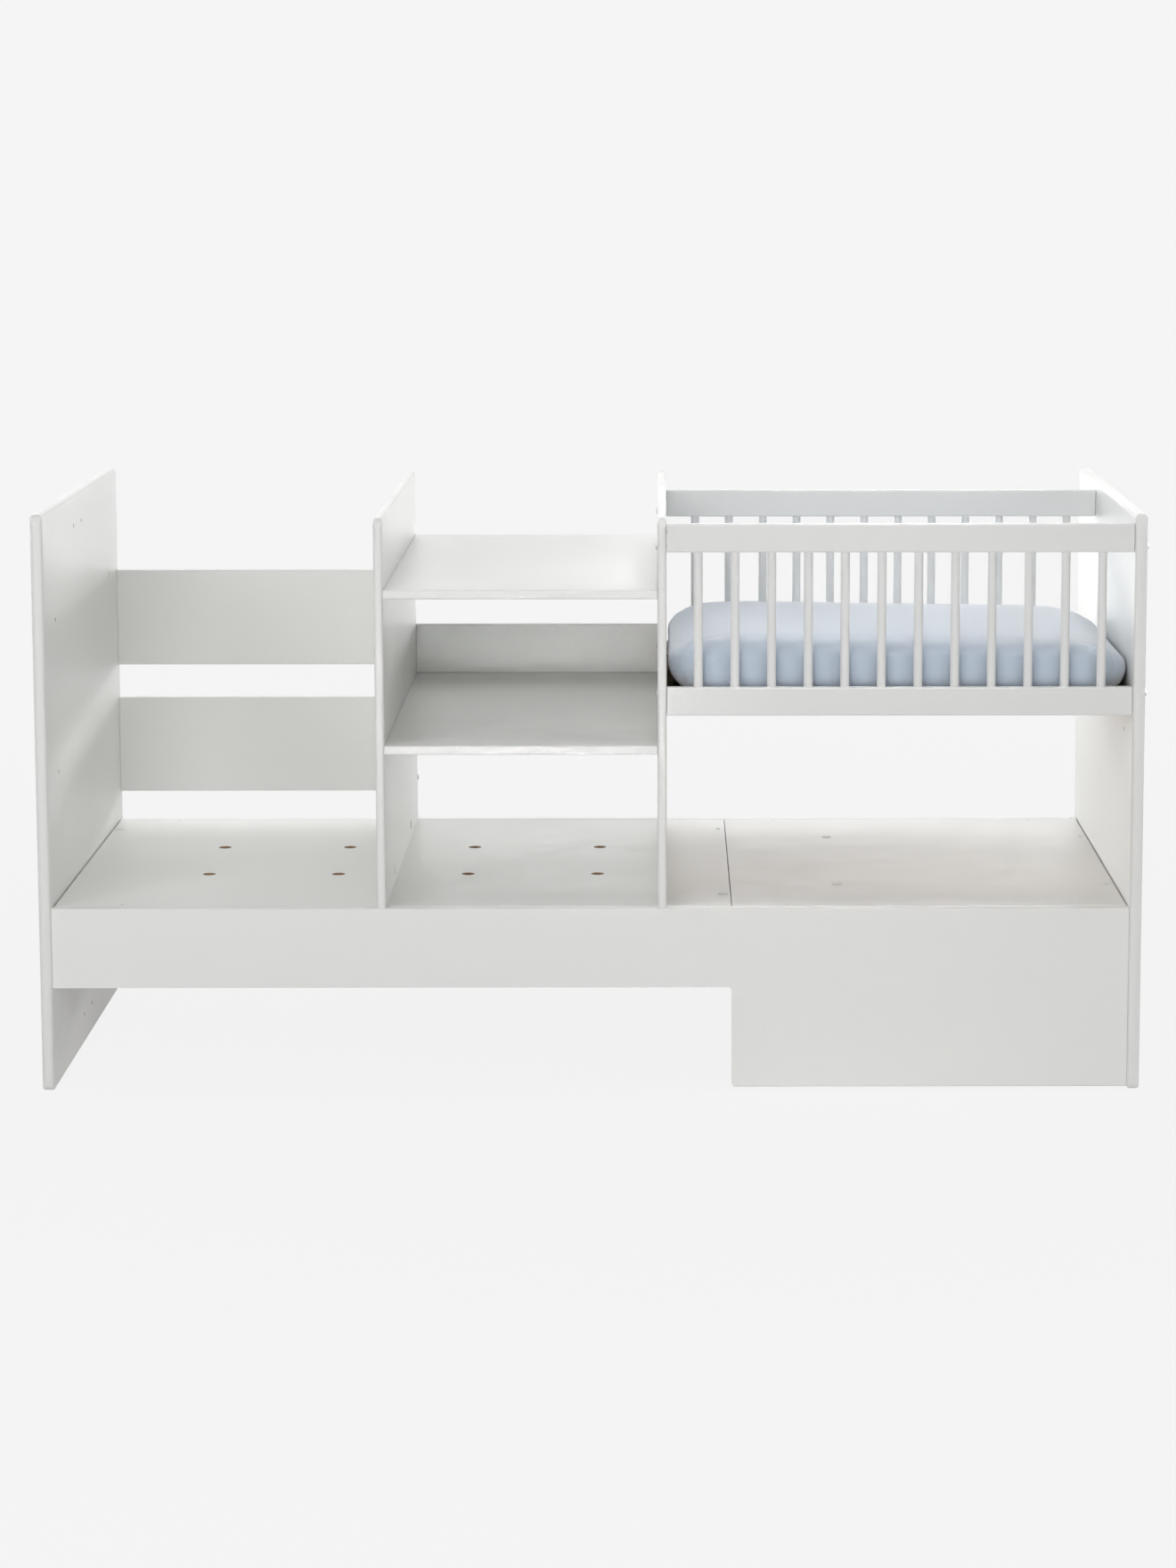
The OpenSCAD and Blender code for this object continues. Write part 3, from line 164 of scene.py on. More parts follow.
def swing(tree, value, size, rest):
    """Turns a value of nought to one into a swing of that size about the resting value."""
    return reckon(tree, "MULTIPLY_ADD", reckon(tree, "SUBTRACT", value, 0.5), size, rest)


def ramp(tree, value, start, end, top=1.0):
    """Nought at the start and top at the end, level outside; the start may be the larger."""
    wires = {"Value": value, "From Min": start, "From Max": end, "To Min": 0.0, "To Max": top}
    return place(tree, "ShaderNodeMapRange", wires).outputs[0]


def open_group(name, takes, gives):
    """A new node group; takes lists (label, socket type, default), gives lists (label, type)."""
    group = bpy.data.node_groups.new(name, "ShaderNodeTree")
    for label, kind, value in takes:
        socket = group.interface.new_socket(label, in_out="INPUT", socket_type=kind)
        socket.default_value = value
    for label, kind in gives:
        group.interface.new_socket(label, in_out="OUTPUT", socket_type=kind)
    return group, group.nodes.new("NodeGroupInput"), group.nodes.new("NodeGroupOutput")


print("helpers ready")

# %% [markdown]
# ## The white facing of the boards
#
# Furniture boards are chipboard with a white paper facing pressed on in resin. Up close
# the facing isn't flat: it has a fine pearl, like the skin of an orange, and hands leave
# slightly duller places on it. A picture texture could show that, but a pattern worked
# out from the position on the object needs no unwrapping and never repeats.

# %% A node group for the pearl facing
def make_pearl_facing():
    """Colour, roughness and height of a satin white facing, from the place on the object.

    The colour is the tint times one plus a slow drift; the height is a fine grain of
    about one millimetre; the roughness wanders by a few hundredths where hands touch."""
    takes = [("Tint", COLOUR, (0.8, 0.8, 0.8, 1)), ("Drift", NUMBER, 0.02),
             ("Satin", NUMBER, 0.42), ("Pearls per metre", NUMBER, 750.0)]
    tree, given, result = open_group("pearl_facing", takes, FINISH)
    spot = here(tree)
    pearls = noise(tree, spot, given.outputs["Pearls per metre"], 1.5, Roughness=0.45)
    cloud, touch = noise(tree, spot, 2.4, 3.0), noise(tree, spot, 19.0, 4.0)
    gain = swing(tree, cloud, given.outputs["Drift"], 1.0)
    wire(tree, result, Color=scaled(tree, given.outputs["Tint"], gain),
         Roughness=swing(tree, touch, 0.16, given.outputs["Satin"]), Height=pearls)
    return tree


pearl_facing = make_pearl_facing()
print("pearl facing:", len(pearl_facing.nodes), "nodes")

# %% [markdown]
# ## Where a board was cut and drilled
#
# A hole drilled through a faced board shows its brown core of pressed chips, while the
# outer edges are closed with a glued-on band. Both are told apart by place: a surface that
# is square to the board's faces and lies well inside its outline is the wall of a hole.

# %% Node groups for the cut edges and the chip core
def make_board_cuts():
    """Masks for a board: the core bared in holes, the edge band, and the band's glue line.

    The room is the half size less the distance from the middle, along the two long axes;
    a place with room above the rim, whose normal is square to the thickness, is a hole.
    The glue line shows where the rounded edge has turned about halfway."""
    takes = [("Middle", VECTOR, (0, 0, 0)), ("Half size", VECTOR, (1, 1, 1)),
             ("Thickness axis", VECTOR, (0, 0, 1)), ("Rim", NUMBER, 0.02)]
    gives = [("Bare core", NUMBER), ("Edge band", NUMBER), ("Glue line", NUMBER)]
    tree, given, result = open_group("board_cuts", takes, gives)
    axis = given.outputs["Thickness axis"]
    away = carry(tree, "ABSOLUTE", carry(tree, "SUBTRACT", here(tree), given.outputs["Middle"]))
    room = carry(tree, "SUBTRACT", given.outputs["Half size"], away)
    parts = place(tree, "ShaderNodeSeparateXYZ", {0: carry(tree, "ADD", room, axis)})
    least = reckon(tree, "MINIMUM", parts.outputs[0], parts.outputs[1])
    least = reckon(tree, "MINIMUM", least, parts.outputs[2])
    inside = reckon(tree, "GREATER_THAN", least, given.outputs["Rim"])
    outside = reckon(tree, "SUBTRACT", 1.0, inside)
    facing = place(tree, "ShaderNodeNewGeometry").outputs["Normal"]
    along = place(tree, "ShaderNodeVectorMath", {0: facing, 1: axis}, operation="DOT_PRODUCT")
    square = reckon(tree, "ABSOLUTE", along.outputs["Value"])
    cut = ramp(tree, square, 0.62, 0.5)
    line = ramp(tree, reckon(tree, "ABSOLUTE", reckon(tree, "SUBTRACT", square, 0.8)), 0.14, 0.06)
    wire(tree, result, Bare_core=reckon(tree, "MULTIPLY", inside, cut),
         Edge_band=reckon(tree, "MULTIPLY", outside, cut),
         Glue_line=reckon(tree, "MULTIPLY", outside, line))
    return tree


def make_chip_core():
    """Colour and height of pressed wood chips: angular cells with fine dust between them."""
    takes = [("Light chips", COLOUR, (0.5, 0.34, 0.2, 1)),
             ("Dark chips", COLOUR, (0.2, 0.12, 0.06, 1)), ("Chips per metre", NUMBER, 420.0)]
    tree, given, result = open_group("chip_core", takes, PATTERN)
    spot, size = here(tree), given.outputs["Chips per metre"]
    chips = place(tree, "ShaderNodeTexVoronoi", {"Vector": spot, "Scale": size})
    tone = place(tree, "ShaderNodeSeparateXYZ", {0: chips.outputs["Color"]}).outputs[0]
    tone = reckon(tree, "ADD", reckon(tree, "MULTIPLY", tone, 0.6),
                  reckon(tree, "MULTIPLY", noise(tree, spot, 1600.0, 2.0), 0.4))
    dark, light = given.outputs["Dark chips"], given.outputs["Light chips"]
    wire(tree, result, Color=blend_colours(tree, tone, dark, light), Height=tone)
    return tree


board_cuts = make_board_cuts()
chip_core = make_chip_core()
print("board cuts:", len(board_cuts.nodes), "nodes; chip core:", len(chip_core.nodes), "nodes")

# %% [markdown]
# ## Lacquered bars and rails
#
# The crib's rails and bars are solid wood under white lacquer. The lacquer levels out,
# but the grain still shows as long faint ridges. The same noise as before gives them when
# the place is squeezed along the grain, so that each blob is drawn out into a streak.

# %% Node groups for lacquered and for bare wood
X_AXIS, Y_AXIS, Z_AXIS = (1, 0, 0), (0, 1, 0), (0, 0, 1)


def squeeze_along(tree, grain_axis, keep):
    """The place on the object with its step along the grain shortened to keep."""
    shrink = scaled(tree, grain_axis, keep - 1.0)
    return carry(tree, "MULTIPLY", here(tree), carry(tree, "ADD", shrink, (1.0, 1.0, 1.0)))


def make_lacquered_wood():
    """Colour, roughness and height of white lacquer over grain that runs along one axis."""
    takes = [("Tint", COLOUR, (0.8, 0.8, 0.8, 1)), ("Grain axis", VECTOR, X_AXIS),
             ("Satin", NUMBER, 0.36)]
    tree, given, result = open_group("lacquered_wood", takes, FINISH)
    drawn = squeeze_along(tree, given.outputs["Grain axis"], 0.035)
    grain, peel = noise(tree, drawn, 420.0, 3.0), noise(tree, here(tree), 260.0, 1.0)
    gain = swing(tree, noise(tree, drawn, 14.0, 2.0), 0.05, 1.0)
    gain = reckon(tree, "ADD", gain, reckon(tree, "MULTIPLY", grain, 0.012))
    height = reckon(tree, "MULTIPLY_ADD", peel, 0.5, reckon(tree, "MULTIPLY", grain, 0.5))
    wire(tree, result, Color=scaled(tree, given.outputs["Tint"], gain),
         Roughness=swing(tree, peel, 0.12, given.outputs["Satin"]), Height=height)
    return tree


def make_bare_beech():
    """Planed beech: slow growth bands, fine pores, and the short dark flecks beech is known by."""
    takes = [("Light wood", COLOUR, (0.72, 0.5, 0.32, 1)),
             ("Dark wood", COLOUR, (0.5, 0.31, 0.18, 1)), ("Grain axis", VECTOR, X_AXIS)]
    tree, given, result = open_group("bare_beech", takes, FINISH)
    axis, dark = given.outputs["Grain axis"], given.outputs["Dark wood"]
    bands = noise(tree, squeeze_along(tree, axis, 0.04), 55.0, 4.0, Roughness=0.6, Distortion=0.3)
    pores = noise(tree, squeeze_along(tree, axis, 0.02), 900.0, 2.0)
    fleck = ramp(tree, noise(tree, squeeze_along(tree, axis, 0.14), 420.0, 0.0), 0.66, 0.74, 0.6)
    wood = blend_colours(tree, bands, given.outputs["Light wood"], dark)
    wood = blend_colours(tree, reckon(tree, "MULTIPLY", pores, 0.35), wood, dark)
    wire(tree, result, Color=blend_colours(tree, fleck, wood, (0.3, 0.17, 0.09, 1)),
         Roughness=reckon(tree, "MULTIPLY_ADD", pores, 0.2, 0.5),
         Height=reckon(tree, "SUBTRACT", pores, fleck))
    return tree


lacquered_wood = make_lacquered_wood()
bare_beech = make_bare_beech()
print("lacquered wood and bare beech ready")

# %% [markdown]
# ## Metal and plastic fittings
#
# The bolts and screws are zinc-plated steel with a fine even grain. The cam locks and
# cross nuts are die-cast, with a coarser grey skin. The cover caps are moulded from an
# off-white plastic with a matte spark texture. One group makes all three skins.

# %% A node group for small metal and plastic fittings
def make_fitting_skin():
    """Colour, roughness and height of a fitting: a grain of given size and unevenness."""
    takes = [("Tint", COLOUR, (0.6, 0.6, 0.6, 1)), ("Grains per metre", NUMBER, 2500.0),
             ("Unevenness", NUMBER, 0.2), ("Polish", NUMBER, 0.3)]
    tree, given, result = open_group("fitting_skin", takes, FINISH)
    spot = here(tree)
    fine = noise(tree, spot, given.outputs["Grains per metre"], 2.0)
    both = reckon(tree, "ADD", fine, noise(tree, spot, 160.0, 3.0))
    sway = reckon(tree, "MULTIPLY", reckon(tree, "SUBTRACT", both, 1.0), given.outputs["Unevenness"])
    wire(tree, result, Color=scaled(tree, given.outputs["Tint"], reckon(tree, "ADD", sway, 1.0)),
         Roughness=reckon(tree, "ADD", sway, given.outputs["Polish"], clamp=True), Height=fine)
    return tree


fitting_skin = make_fitting_skin()
print("fitting skin:", len(fitting_skin.nodes), "nodes")

# %% [markdown]
# ## Putting the materials together
#
# Every material ends in one Principled shader. What changes over the surface comes from
# the groups above; what is the same everywhere, such as how strongly the skin mirrors, is
# typed into the shader's own sockets.

# %% Materials for boards
# the edge band colour is partly the band's own tone and partly painted shade on the rounded edges
WHITE_BOARD, EDGE_BAND_AND_SHADE = (0.865, 0.866, 0.846, 1), (0.82, 0.82, 0.805, 1)
GLUE, LACQUER = (0.45, 0.43, 0.4, 1), (0.81, 0.81, 0.8, 1)
SMOOTH_SKIN, FITTING_SKIN = {"IOR": 1.45}, {"IOR": 1.46}
HOLE_RIM, NEVER_BARE = 0.02, 1.0


def start_material(name, **constants):
    """A new material with its Principled shader; the constants go onto the shader's sockets."""
    material = bpy.data.materials.new(name)
    material.use_nodes = True
    tree = material.node_tree
    shader = tree.nodes["Principled BSDF"]
    wire(tree, shader, **constants)
    return material, tree, shader


def use_group(tree, group, **values):
    """Places a node group in a material and feeds the named inputs."""
    node = place(tree, "ShaderNodeGroup", node_tree=group)
    wire(tree, node, **values)
    return node


def relief(tree, shader, height, depth, strength=1.0):
    """Turns a height of nought to one into shading, as deep as the given metres."""
    bump = place(tree, "ShaderNodeBump", {"Height": height, "Distance": depth, "Strength": strength})
    tree.links.new(bump.outputs[0], shader.inputs["Normal"])


def make_board_material(name, node, axis):
    """White faced board for one construction node, with its bare core, glue line and edge band; the
    band's darker colour is partly its own tone, partly painted shade on the rounded edges.

    The two stepped boards are banded along the step, so no place on them counts as bare."""
    low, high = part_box(node)
    rim = NEVER_BARE if node in ("front_board", "rear_board") else HOLE_RIM
    material, tree, shader = start_material(name, **SMOOTH_SKIN)
    skin = use_group(tree, pearl_facing, Tint=WHITE_BOARD)
    cuts = use_group(tree, board_cuts, Middle=(low + high) / 2, Half_size=(high - low) / 2,
                     Thickness_axis=axis, Rim=rim)
    core = use_group(tree, chip_core)
    bare, band, line = (cuts.outputs[label] for label in ("Bare core", "Edge band", "Glue line"))
    # the edge band is mixed in a touch darker than the facing: partly its own tone, partly painted
    # shade on the rounded edges
    colour = blend_colours(tree, reckon(tree, "MULTIPLY", band, 0.6), skin.outputs["Color"], EDGE_BAND_AND_SHADE)
    colour = blend_colours(tree, reckon(tree, "MULTIPLY", line, 0.18), colour, GLUE)
    rough = reckon(tree, "MULTIPLY_ADD", bare, 0.45, skin.outputs["Roughness"])
    wire(tree, shader, Base_Color=blend_colours(tree, bare, colour, core.outputs["Color"]),
         Roughness=reckon(tree, "SUBTRACT", rough, reckon(tree, "MULTIPLY", band, 0.08)))
    chips = reckon(tree, "MULTIPLY", bare, core.outputs["Height"])
    height = reckon(tree, "MULTIPLY_ADD", chips, 6.0, skin.outputs["Height"])
    relief(tree, shader, height, depth=0.00004)
    return material


# each faced board with the axis of its thickness
BOARDS = {
    "left_end_panel": X_AXIS, "right_end_panel": X_AXIS, "front_board": Y_AXIS,
    "rear_board": Y_AXIS, "base_plate_left": Z_AXIS, "base_plate_right": Z_AXIS,
    "storage_side_panel": X_AXIS, "divider_left": X_AXIS, "divider_right": X_AXIS,
    "changer_top_shelf": Z_AXIS, "lower_shelf": Z_AXIS, "shelf_back_panel": Y_AXIS,
    "upper_back_slat": Y_AXIS, "lower_back_slat": Y_AXIS,
}
finish_of = {node: make_board_material("white_board_" + node, node, axis)
             for node, axis in BOARDS.items()}
print(len(finish_of), "boards faced in white")

# %% Materials for wood, metal and plastic
def make_group_material(name, group, depth, constants, **values):
    """A material whose colour, roughness and height all come from one group."""
    material, tree, shader = start_material(name, **constants)
    skin = use_group(tree, group, **values)
    wire(tree, shader, Base_Color=skin.outputs["Color"], Roughness=skin.outputs["Roughness"])
    relief(tree, shader, skin.outputs["Height"], depth)
    return material


def make_fibreboard_material():
    """Bare hardboard: much finer chips than in the boards, pressed smooth."""
    material, tree, shader = start_material("bare_fibreboard", Roughness=0.7, **SMOOTH_SKIN)
    core = use_group(tree, chip_core, Light_chips=(0.42, 0.28, 0.16, 1),
                     Dark_chips=(0.26, 0.16, 0.085, 1), Chips_per_metre=900.0)
    wire(tree, shader, Base_Color=core.outputs["Color"])
    relief(tree, shader, core.outputs["Height"], depth=0.00008)
    return material


LACQUER_DEPTH, BEECH_DEPTH, STEEL_DEPTH, ZINC_DEPTH, CAP_DEPTH = 6e-5, 1e-4, 1e-5, 4e-5, 2e-5
lacquer_rail, lacquer_bar = (
    make_group_material("white_lacquer_" + name, lacquered_wood, LACQUER_DEPTH, SMOOTH_SKIN,
                        Tint=LACQUER, Grain_axis=axis)
    for name, axis in (("rail", X_AXIS), ("bar", Z_AXIS)))
beech_along = [
    make_group_material("beech_" + name, bare_beech, BEECH_DEPTH, SMOOTH_SKIN, Grain_axis=axis)
    for name, axis in (("lengthwise", X_AXIS), ("crosswise", Y_AXIS), ("upright", Z_AXIS))]
fibreboard = make_fibreboard_material()
plated_steel = make_group_material(
    "plated_steel", fitting_skin, STEEL_DEPTH, {"Metallic": 1.0, **FITTING_SKIN},
    Tint=(0.62, 0.62, 0.63, 1), Grains_per_metre=3200.0, Unevenness=0.14, Polish=0.3)
cast_zinc = make_group_material(
    "cast_zinc", fitting_skin, ZINC_DEPTH, {"Metallic": 1.0, **FITTING_SKIN},
    Tint=(0.5, 0.51, 0.53, 1), Grains_per_metre=1400.0, Unevenness=0.25, Polish=0.46)
cap_plastic = make_group_material(
    "cap_plastic", fitting_skin, CAP_DEPTH, FITTING_SKIN,
    Tint=(0.84, 0.84, 0.815, 1), Grains_per_metre=2400.0, Unevenness=0.06, Polish=0.5)
print("lacquer, beech, fibreboard, metal and plastic ready")

# %% [markdown]
# ## Giving each construction piece its finish
#
# The construction record says which slot a piece belongs to, so only the direction of the
# grain has to be decided here. Rails run along the bed and bars stand upright; every bare
# beech piece has its grain along its longest side.

# %% Hand the finishes out
# the construction's own mattress is replaced further down, so its finish is never seen
SLOT_FINISH = {"raw_board": fibreboard, "steel": plated_steel, "zinc": cast_zinc,
               "plastic_cap": cap_plastic, "mattress_sheet": lacquer_rail}


def wood_for(node, slot):
    """Lacquered wood for rails and bars, else beech along the longest side of the piece's box."""
    if slot == "white_lacquer":
        return lacquer_bar if node.endswith("bars") else lacquer_rail
    low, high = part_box(node)
    size = high - low
    return beech_along[max(range(3), key=lambda i: size[i])]


for part in frame["record"]["subparts"]:
    node, slot = part["node"], part["material_slot"]
    if node not in finish_of:
        finish_of[node] = SLOT_FINISH.get(slot) or wood_for(node, slot)
for node, piece in furniture.items():
    if not piece.material_slots:
        piece.data.materials.append(finish_of[node])
    for holder in piece.material_slots:
        holder.material = finish_of[node]
print("finishes handed out to", len(finish_of), "pieces")

# %% [markdown]
# ## The mattress in its fitted sheet
#
# A crib mattress is a foam block in a stretched cotton sheet. It is widest at half its
# height. The sheet pulls the two short ends down into long soft shoulders, while the long
# sides stand against the bars and keep a tight edge. The outline is a rounded rectangle
# carried up that section, a little thinner at the right end and leaning to the left, as in
# the photograph. Cloth is then blown up gently from inside, as the foam does, so that
# the surface tightens the way fabric would.

# %% The starting form of the mattress
MATTRESS_LOW, MATTRESS_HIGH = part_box("mattress")
# all in metres, found by laying the picture of the model over the photograph
SHIFT, LONGER = Vector((0.0005, -0.0008, 0)), 0.0012
MIDDLE = (MATTRESS_LOW + MATTRESS_HIGH) / 2 + SHIFT
HALF_LENGTH = (MATTRESS_HIGH.x - MATTRESS_LOW.x) / 2 + LONGER
HALF_WIDTH = (MATTRESS_HIGH.y - MATTRESS_LOW.y) / 2
THICKNESS = MATTRESS_HIGH.z - MATTRESS_LOW.z
CORNER, LOWER_ROLL, CROWN = 0.084, 0.054, 0.004
END_SHOULDER, SIDE_SHOULDER = 0.112, 0.044
END_POWER, SIDE_POWER = 2.2, 3.4
TOP_MIDDLE, TOP_FALL, TOP_BOW = 0.1098, 0.0066, 0.0071
LEAN, LEAN_PIVOT, LEAN_LIMIT = 0.13, 0.05, 0.06


def rounded_outline(end_inset, side_inset, steps):
    """Points of a rounded rectangle drawn in at its ends and sides, one row for each inset.

    Each corner is a quarter circle. Its radius shrinks with the inset as a parallel
    curve's would, but never falls below half the inset, so the top has no mitred ridge."""
    turn = np.linspace(0, 2 * np.pi, steps, endpoint=False)
    quarter = np.floor(turn / (np.pi / 2)) * (np.pi / 2) + np.pi / 4
    side_x, side_y = np.sign(np.cos(quarter)), np.sign(np.sin(quarter))
    end_inset, side_inset = end_inset[:, None], side_inset[:, None]
    radius = np.hypot(np.maximum(CORNER - end_inset, 0), 0.5 * end_inset)
    radius = np.minimum(radius, 0.9 * (HALF_WIDTH - side_inset))
    across = side_x * (HALF_LENGTH - end_inset - radius) + radius * np.cos(turn)
    along = side_y * (HALF_WIDTH - side_inset - radius) + radius * np.sin(turn)
    return across, along


def mattress_profile():
    """End inset, side inset and height, from the underside's middle round to the top's middle.

    The lower edge is a quarter circle. A shoulder is a quarter of a superellipse, whose
    power is lower at the soft ends than at the tight sides; the crown is a parabola."""
    u = np.array([0.04, 0.4, 0.75])
    under = HALF_WIDTH - (HALF_WIDTH - LOWER_ROLL) * u
    under = np.stack([under, under, 0 * u], 1)
    down = np.radians(np.arange(-90, 1, 10))
    lower = LOWER_ROLL * (1 - np.cos(down))
    lower = np.stack([lower, lower, LOWER_ROLL * (1 + np.sin(down))], 1)
    climb = np.sin(np.radians(np.arange(6, 91, 6))) ** (2 / END_POWER)
    upper = np.stack([END_SHOULDER * (1 - (1 - climb ** END_POWER) ** (1 / END_POWER)),
                      SIDE_SHOULDER * (1 - (1 - climb ** SIDE_POWER) ** (1 / SIDE_POWER)),
                      LOWER_ROLL + (THICKNESS - CROWN - LOWER_ROLL) * climb], 1)
    u = np.array([0.85, 0.65, 0.45, 0.25, 0.1, 0.03])
    top = np.stack([HALF_WIDTH - (HALF_WIDTH - END_SHOULDER) * u,
                    HALF_WIDTH - (HALF_WIDTH - SIDE_SHOULDER) * u, THICKNESS - CROWN * u ** 2], 1)
    return np.concatenate([under, lower, upper, top])


def slump(points):
    """The lie of this one mattress: thinner towards the right end, and leaning left.

    Above the widest line the heights are scaled so that the top follows a shallow
    parabola of the length. Points above the pivot move left, and those below it right."""
    along = (points[:, 0] - MIDDLE.x) / HALF_LENGTH
    height = points[:, 2] - MATTRESS_LOW.z
    top = TOP_MIDDLE - TOP_FALL * along - TOP_BOW * along ** 2
    above = np.maximum(height - LOWER_ROLL, 0)
    stretch = (top - LOWER_ROLL) / (THICKNESS - LOWER_ROLL)
    points[:, 2] += above * (stretch - 1)
    points[:, 0] -= LEAN * np.clip(height - LEAN_PIVOT, -LEAN_PIVOT, LEAN_LIMIT)
    return points


def grid_faces(rows, columns):
    """Quads of a grid of points whose rows each close into a ring."""
    row, column = np.meshgrid(np.arange(rows - 1), np.arange(columns), indexing="ij")
    nxt = (column + 1) % columns
    quads = np.stack([row * columns + column, row * columns + nxt,
                      (row + 1) * columns + nxt, (row + 1) * columns + column], -1)
    return quads.reshape(-1, 4)


def mesh_from(name, points, faces, caps=()):
    """A new object at the origin, with its place in its mesh; caps are extra polygons."""
    mesh = bpy.data.meshes.new(name)
    mesh.from_pydata(points.tolist(), [], faces.tolist() + [list(cap) for cap in caps])
    mesh.validate()
    thing = bpy.data.objects.new(name, mesh)
    bpy.context.scene.collection.objects.link(thing)
    return thing


OUTLINE_STEPS, SLACK = 96, 0.003


def start_mattress(shrink):
    """The mattress's starting form: the outline carried up the profile, drawn in by shrink."""
    profile = mattress_profile()
    across, along = rounded_outline(profile[:, 0], profile[:, 1], OUTLINE_STEPS)
    height = np.broadcast_to(profile[:, 2:3], across.shape)
    scale = 1 - shrink / np.array([HALF_LENGTH, HALF_WIDTH])
    points = np.stack([MIDDLE.x + across * scale[0], MIDDLE.y + along * scale[1],
                       MATTRESS_LOW.z + shrink / 2 + height * (1 - shrink / THICKNESS)], -1)
    rows, columns = across.shape
    caps = [tuple(range(columns - 1, -1, -1)),
            tuple(range((rows - 1) * columns, rows * columns))]
    return mesh_from("crib_mattress_in_sheet", slump(points.reshape(-1, 3)),
                     grid_faces(rows, columns), caps)


mattress = start_mattress(SLACK)
print("mattress starts with", len(mattress.data.vertices), "points")

# %% Blow the sheet up with a short cloth simulation
VOXEL, PRESSURE, FRAMES, LARGEST_MOVE = 0.008, 4.0, 20, 0.0045


def select_only(thing):
    """Makes one object the active and only selected one, as Blender's operators want."""
    bpy.ops.object.select_all(action="DESELECT")
    thing.select_set(True)
    bpy.context.view_layer.objects.active = thing


def read_points(thing):
    """The mesh's points as rows of x, y, z."""
    flat = np.empty(len(thing.data.vertices) * 3, np.float64)
    thing.data.vertices.foreach_get("co", flat)
    return flat.reshape(-1, 3)


def write_points(thing, points):
    """Puts rows of x, y, z back into the mesh."""
    thing.data.vertices.foreach_set("co", points.astype(np.float32).ravel())
    thing.data.update()


def remesh(thing, voxel):
    """Rebuilds the surface from even squares of the voxel size, so that cloth bends evenly."""
    select_only(thing)
    modifier = thing.modifiers.new("even_squares", "REMESH")
    modifier.mode = "VOXEL"
    modifier.voxel_size = voxel
    modifier.use_smooth_shade = True
    bpy.ops.object.modifier_apply(modifier=modifier.name)


def puff(thing):
    """Blows the closed cloth up for a few frames, and keeps each point near its start."""
    start = read_points(thing)
    select_only(thing)
    modifier = thing.modifiers.new("cloth", "CLOTH")
    modifier.settings.quality = 5
    modifier.settings.mass = 0.2
    modifier.settings.tension_stiffness = 25
    modifier.settings.compression_stiffness = 8
    modifier.settings.bending_stiffness = 1.5
    modifier.settings.use_pressure = True
    modifier.settings.uniform_pressure_force = PRESSURE
    modifier.settings.effector_weights.gravity = 0
    modifier.point_cache.frame_end = FRAMES
    for step in range(1, FRAMES + 1):
        bpy.context.scene.frame_set(step)
    bpy.ops.object.modifier_apply(modifier=modifier.name)
    bpy.context.scene.frame_set(1)
    move = read_points(thing) - start
    length = np.linalg.norm(move, axis=1, keepdims=True)
    write_points(thing, start + move * np.minimum(1.0, LARGEST_MOVE / np.maximum(length, 1e-9)))
    print("the sheet moved by", round(float(length.max()) * 1000, 1), "mm at most before the limit")


def fill_room(thing):
    """Stretches the mattress back to the length and width that it has to have."""
    points = read_points(thing)
    for axis, half in ((0, HALF_LENGTH), (1, HALF_WIDTH)):
        low, high = points[:, axis].min(), points[:, axis].max()
        away = points[:, axis] - (low + high) / 2
        points[:, axis] = MIDDLE[axis] + away * 2 * half / (high - low)
    write_points(thing, points)
    print("stretched by", round(float(2 * HALF_WIDTH - (high - low)) * 1000, 1), "mm in width")


remesh(mattress, VOXEL)
puff(mattress)
fill_room(mattress)
print("mattress has", len(mattress.data.vertices), "points")

# %% [markdown]
# ## Where the sheet meets the bars
#
# Seen closely, the long side of the mattress is not flat. The foam is held back by each
# bar and swells forward between two of them, so every gap shows an arch with a round top.
# The cloth is also drawn into faint creases at the four corner seams. Both are small moves
# of the points, worked out from the place, after the cloth has settled.

# %% Swell between the bars, pull at the corners, rest on the floor board
BAR_LOW, BAR_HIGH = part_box("crib_front_bars")
BACK_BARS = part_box("crib_back_bars")[0].y
FRONT_RAIL, BACK_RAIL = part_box("crib_front_bottom_rail")[1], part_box("crib_back_bottom_rail")[0].y
BAR_COUNT = 12
BAR_RADIUS = (BAR_HIGH.y - BAR_LOW.y) / 2
BAR_FIRST, BAR_LAST = BAR_LOW.x + BAR_RADIUS, BAR_HIGH.x - BAR_RADIUS
BAR_PITCH = (BAR_LAST - BAR_FIRST) / (BAR_COUNT - 1)
HELD_BACK, SWELLS, ARCH_HEIGHT, ARCH_DROP = 0.005, 0.0065, 0.105, 0.03
ARCH_POWER, PILLOW, FULL_SWELL, SIDE_FADE, END_FADE = 2.4, 0.7, 0.035, 0.03, 0.02
CREASE_DEPTH, CREASES, CREASE_TURN, CREASE_REACH, CREASE_INSET = 0.0009, 9, 0.7, 0.07, 0.03
BOARD_GAP, RAIL_GAP, BAR_GAP, OVER_RAIL, RAIL_TO_BAR = 0.0005, 0.0003, 0.0002, 0.001, 0.008


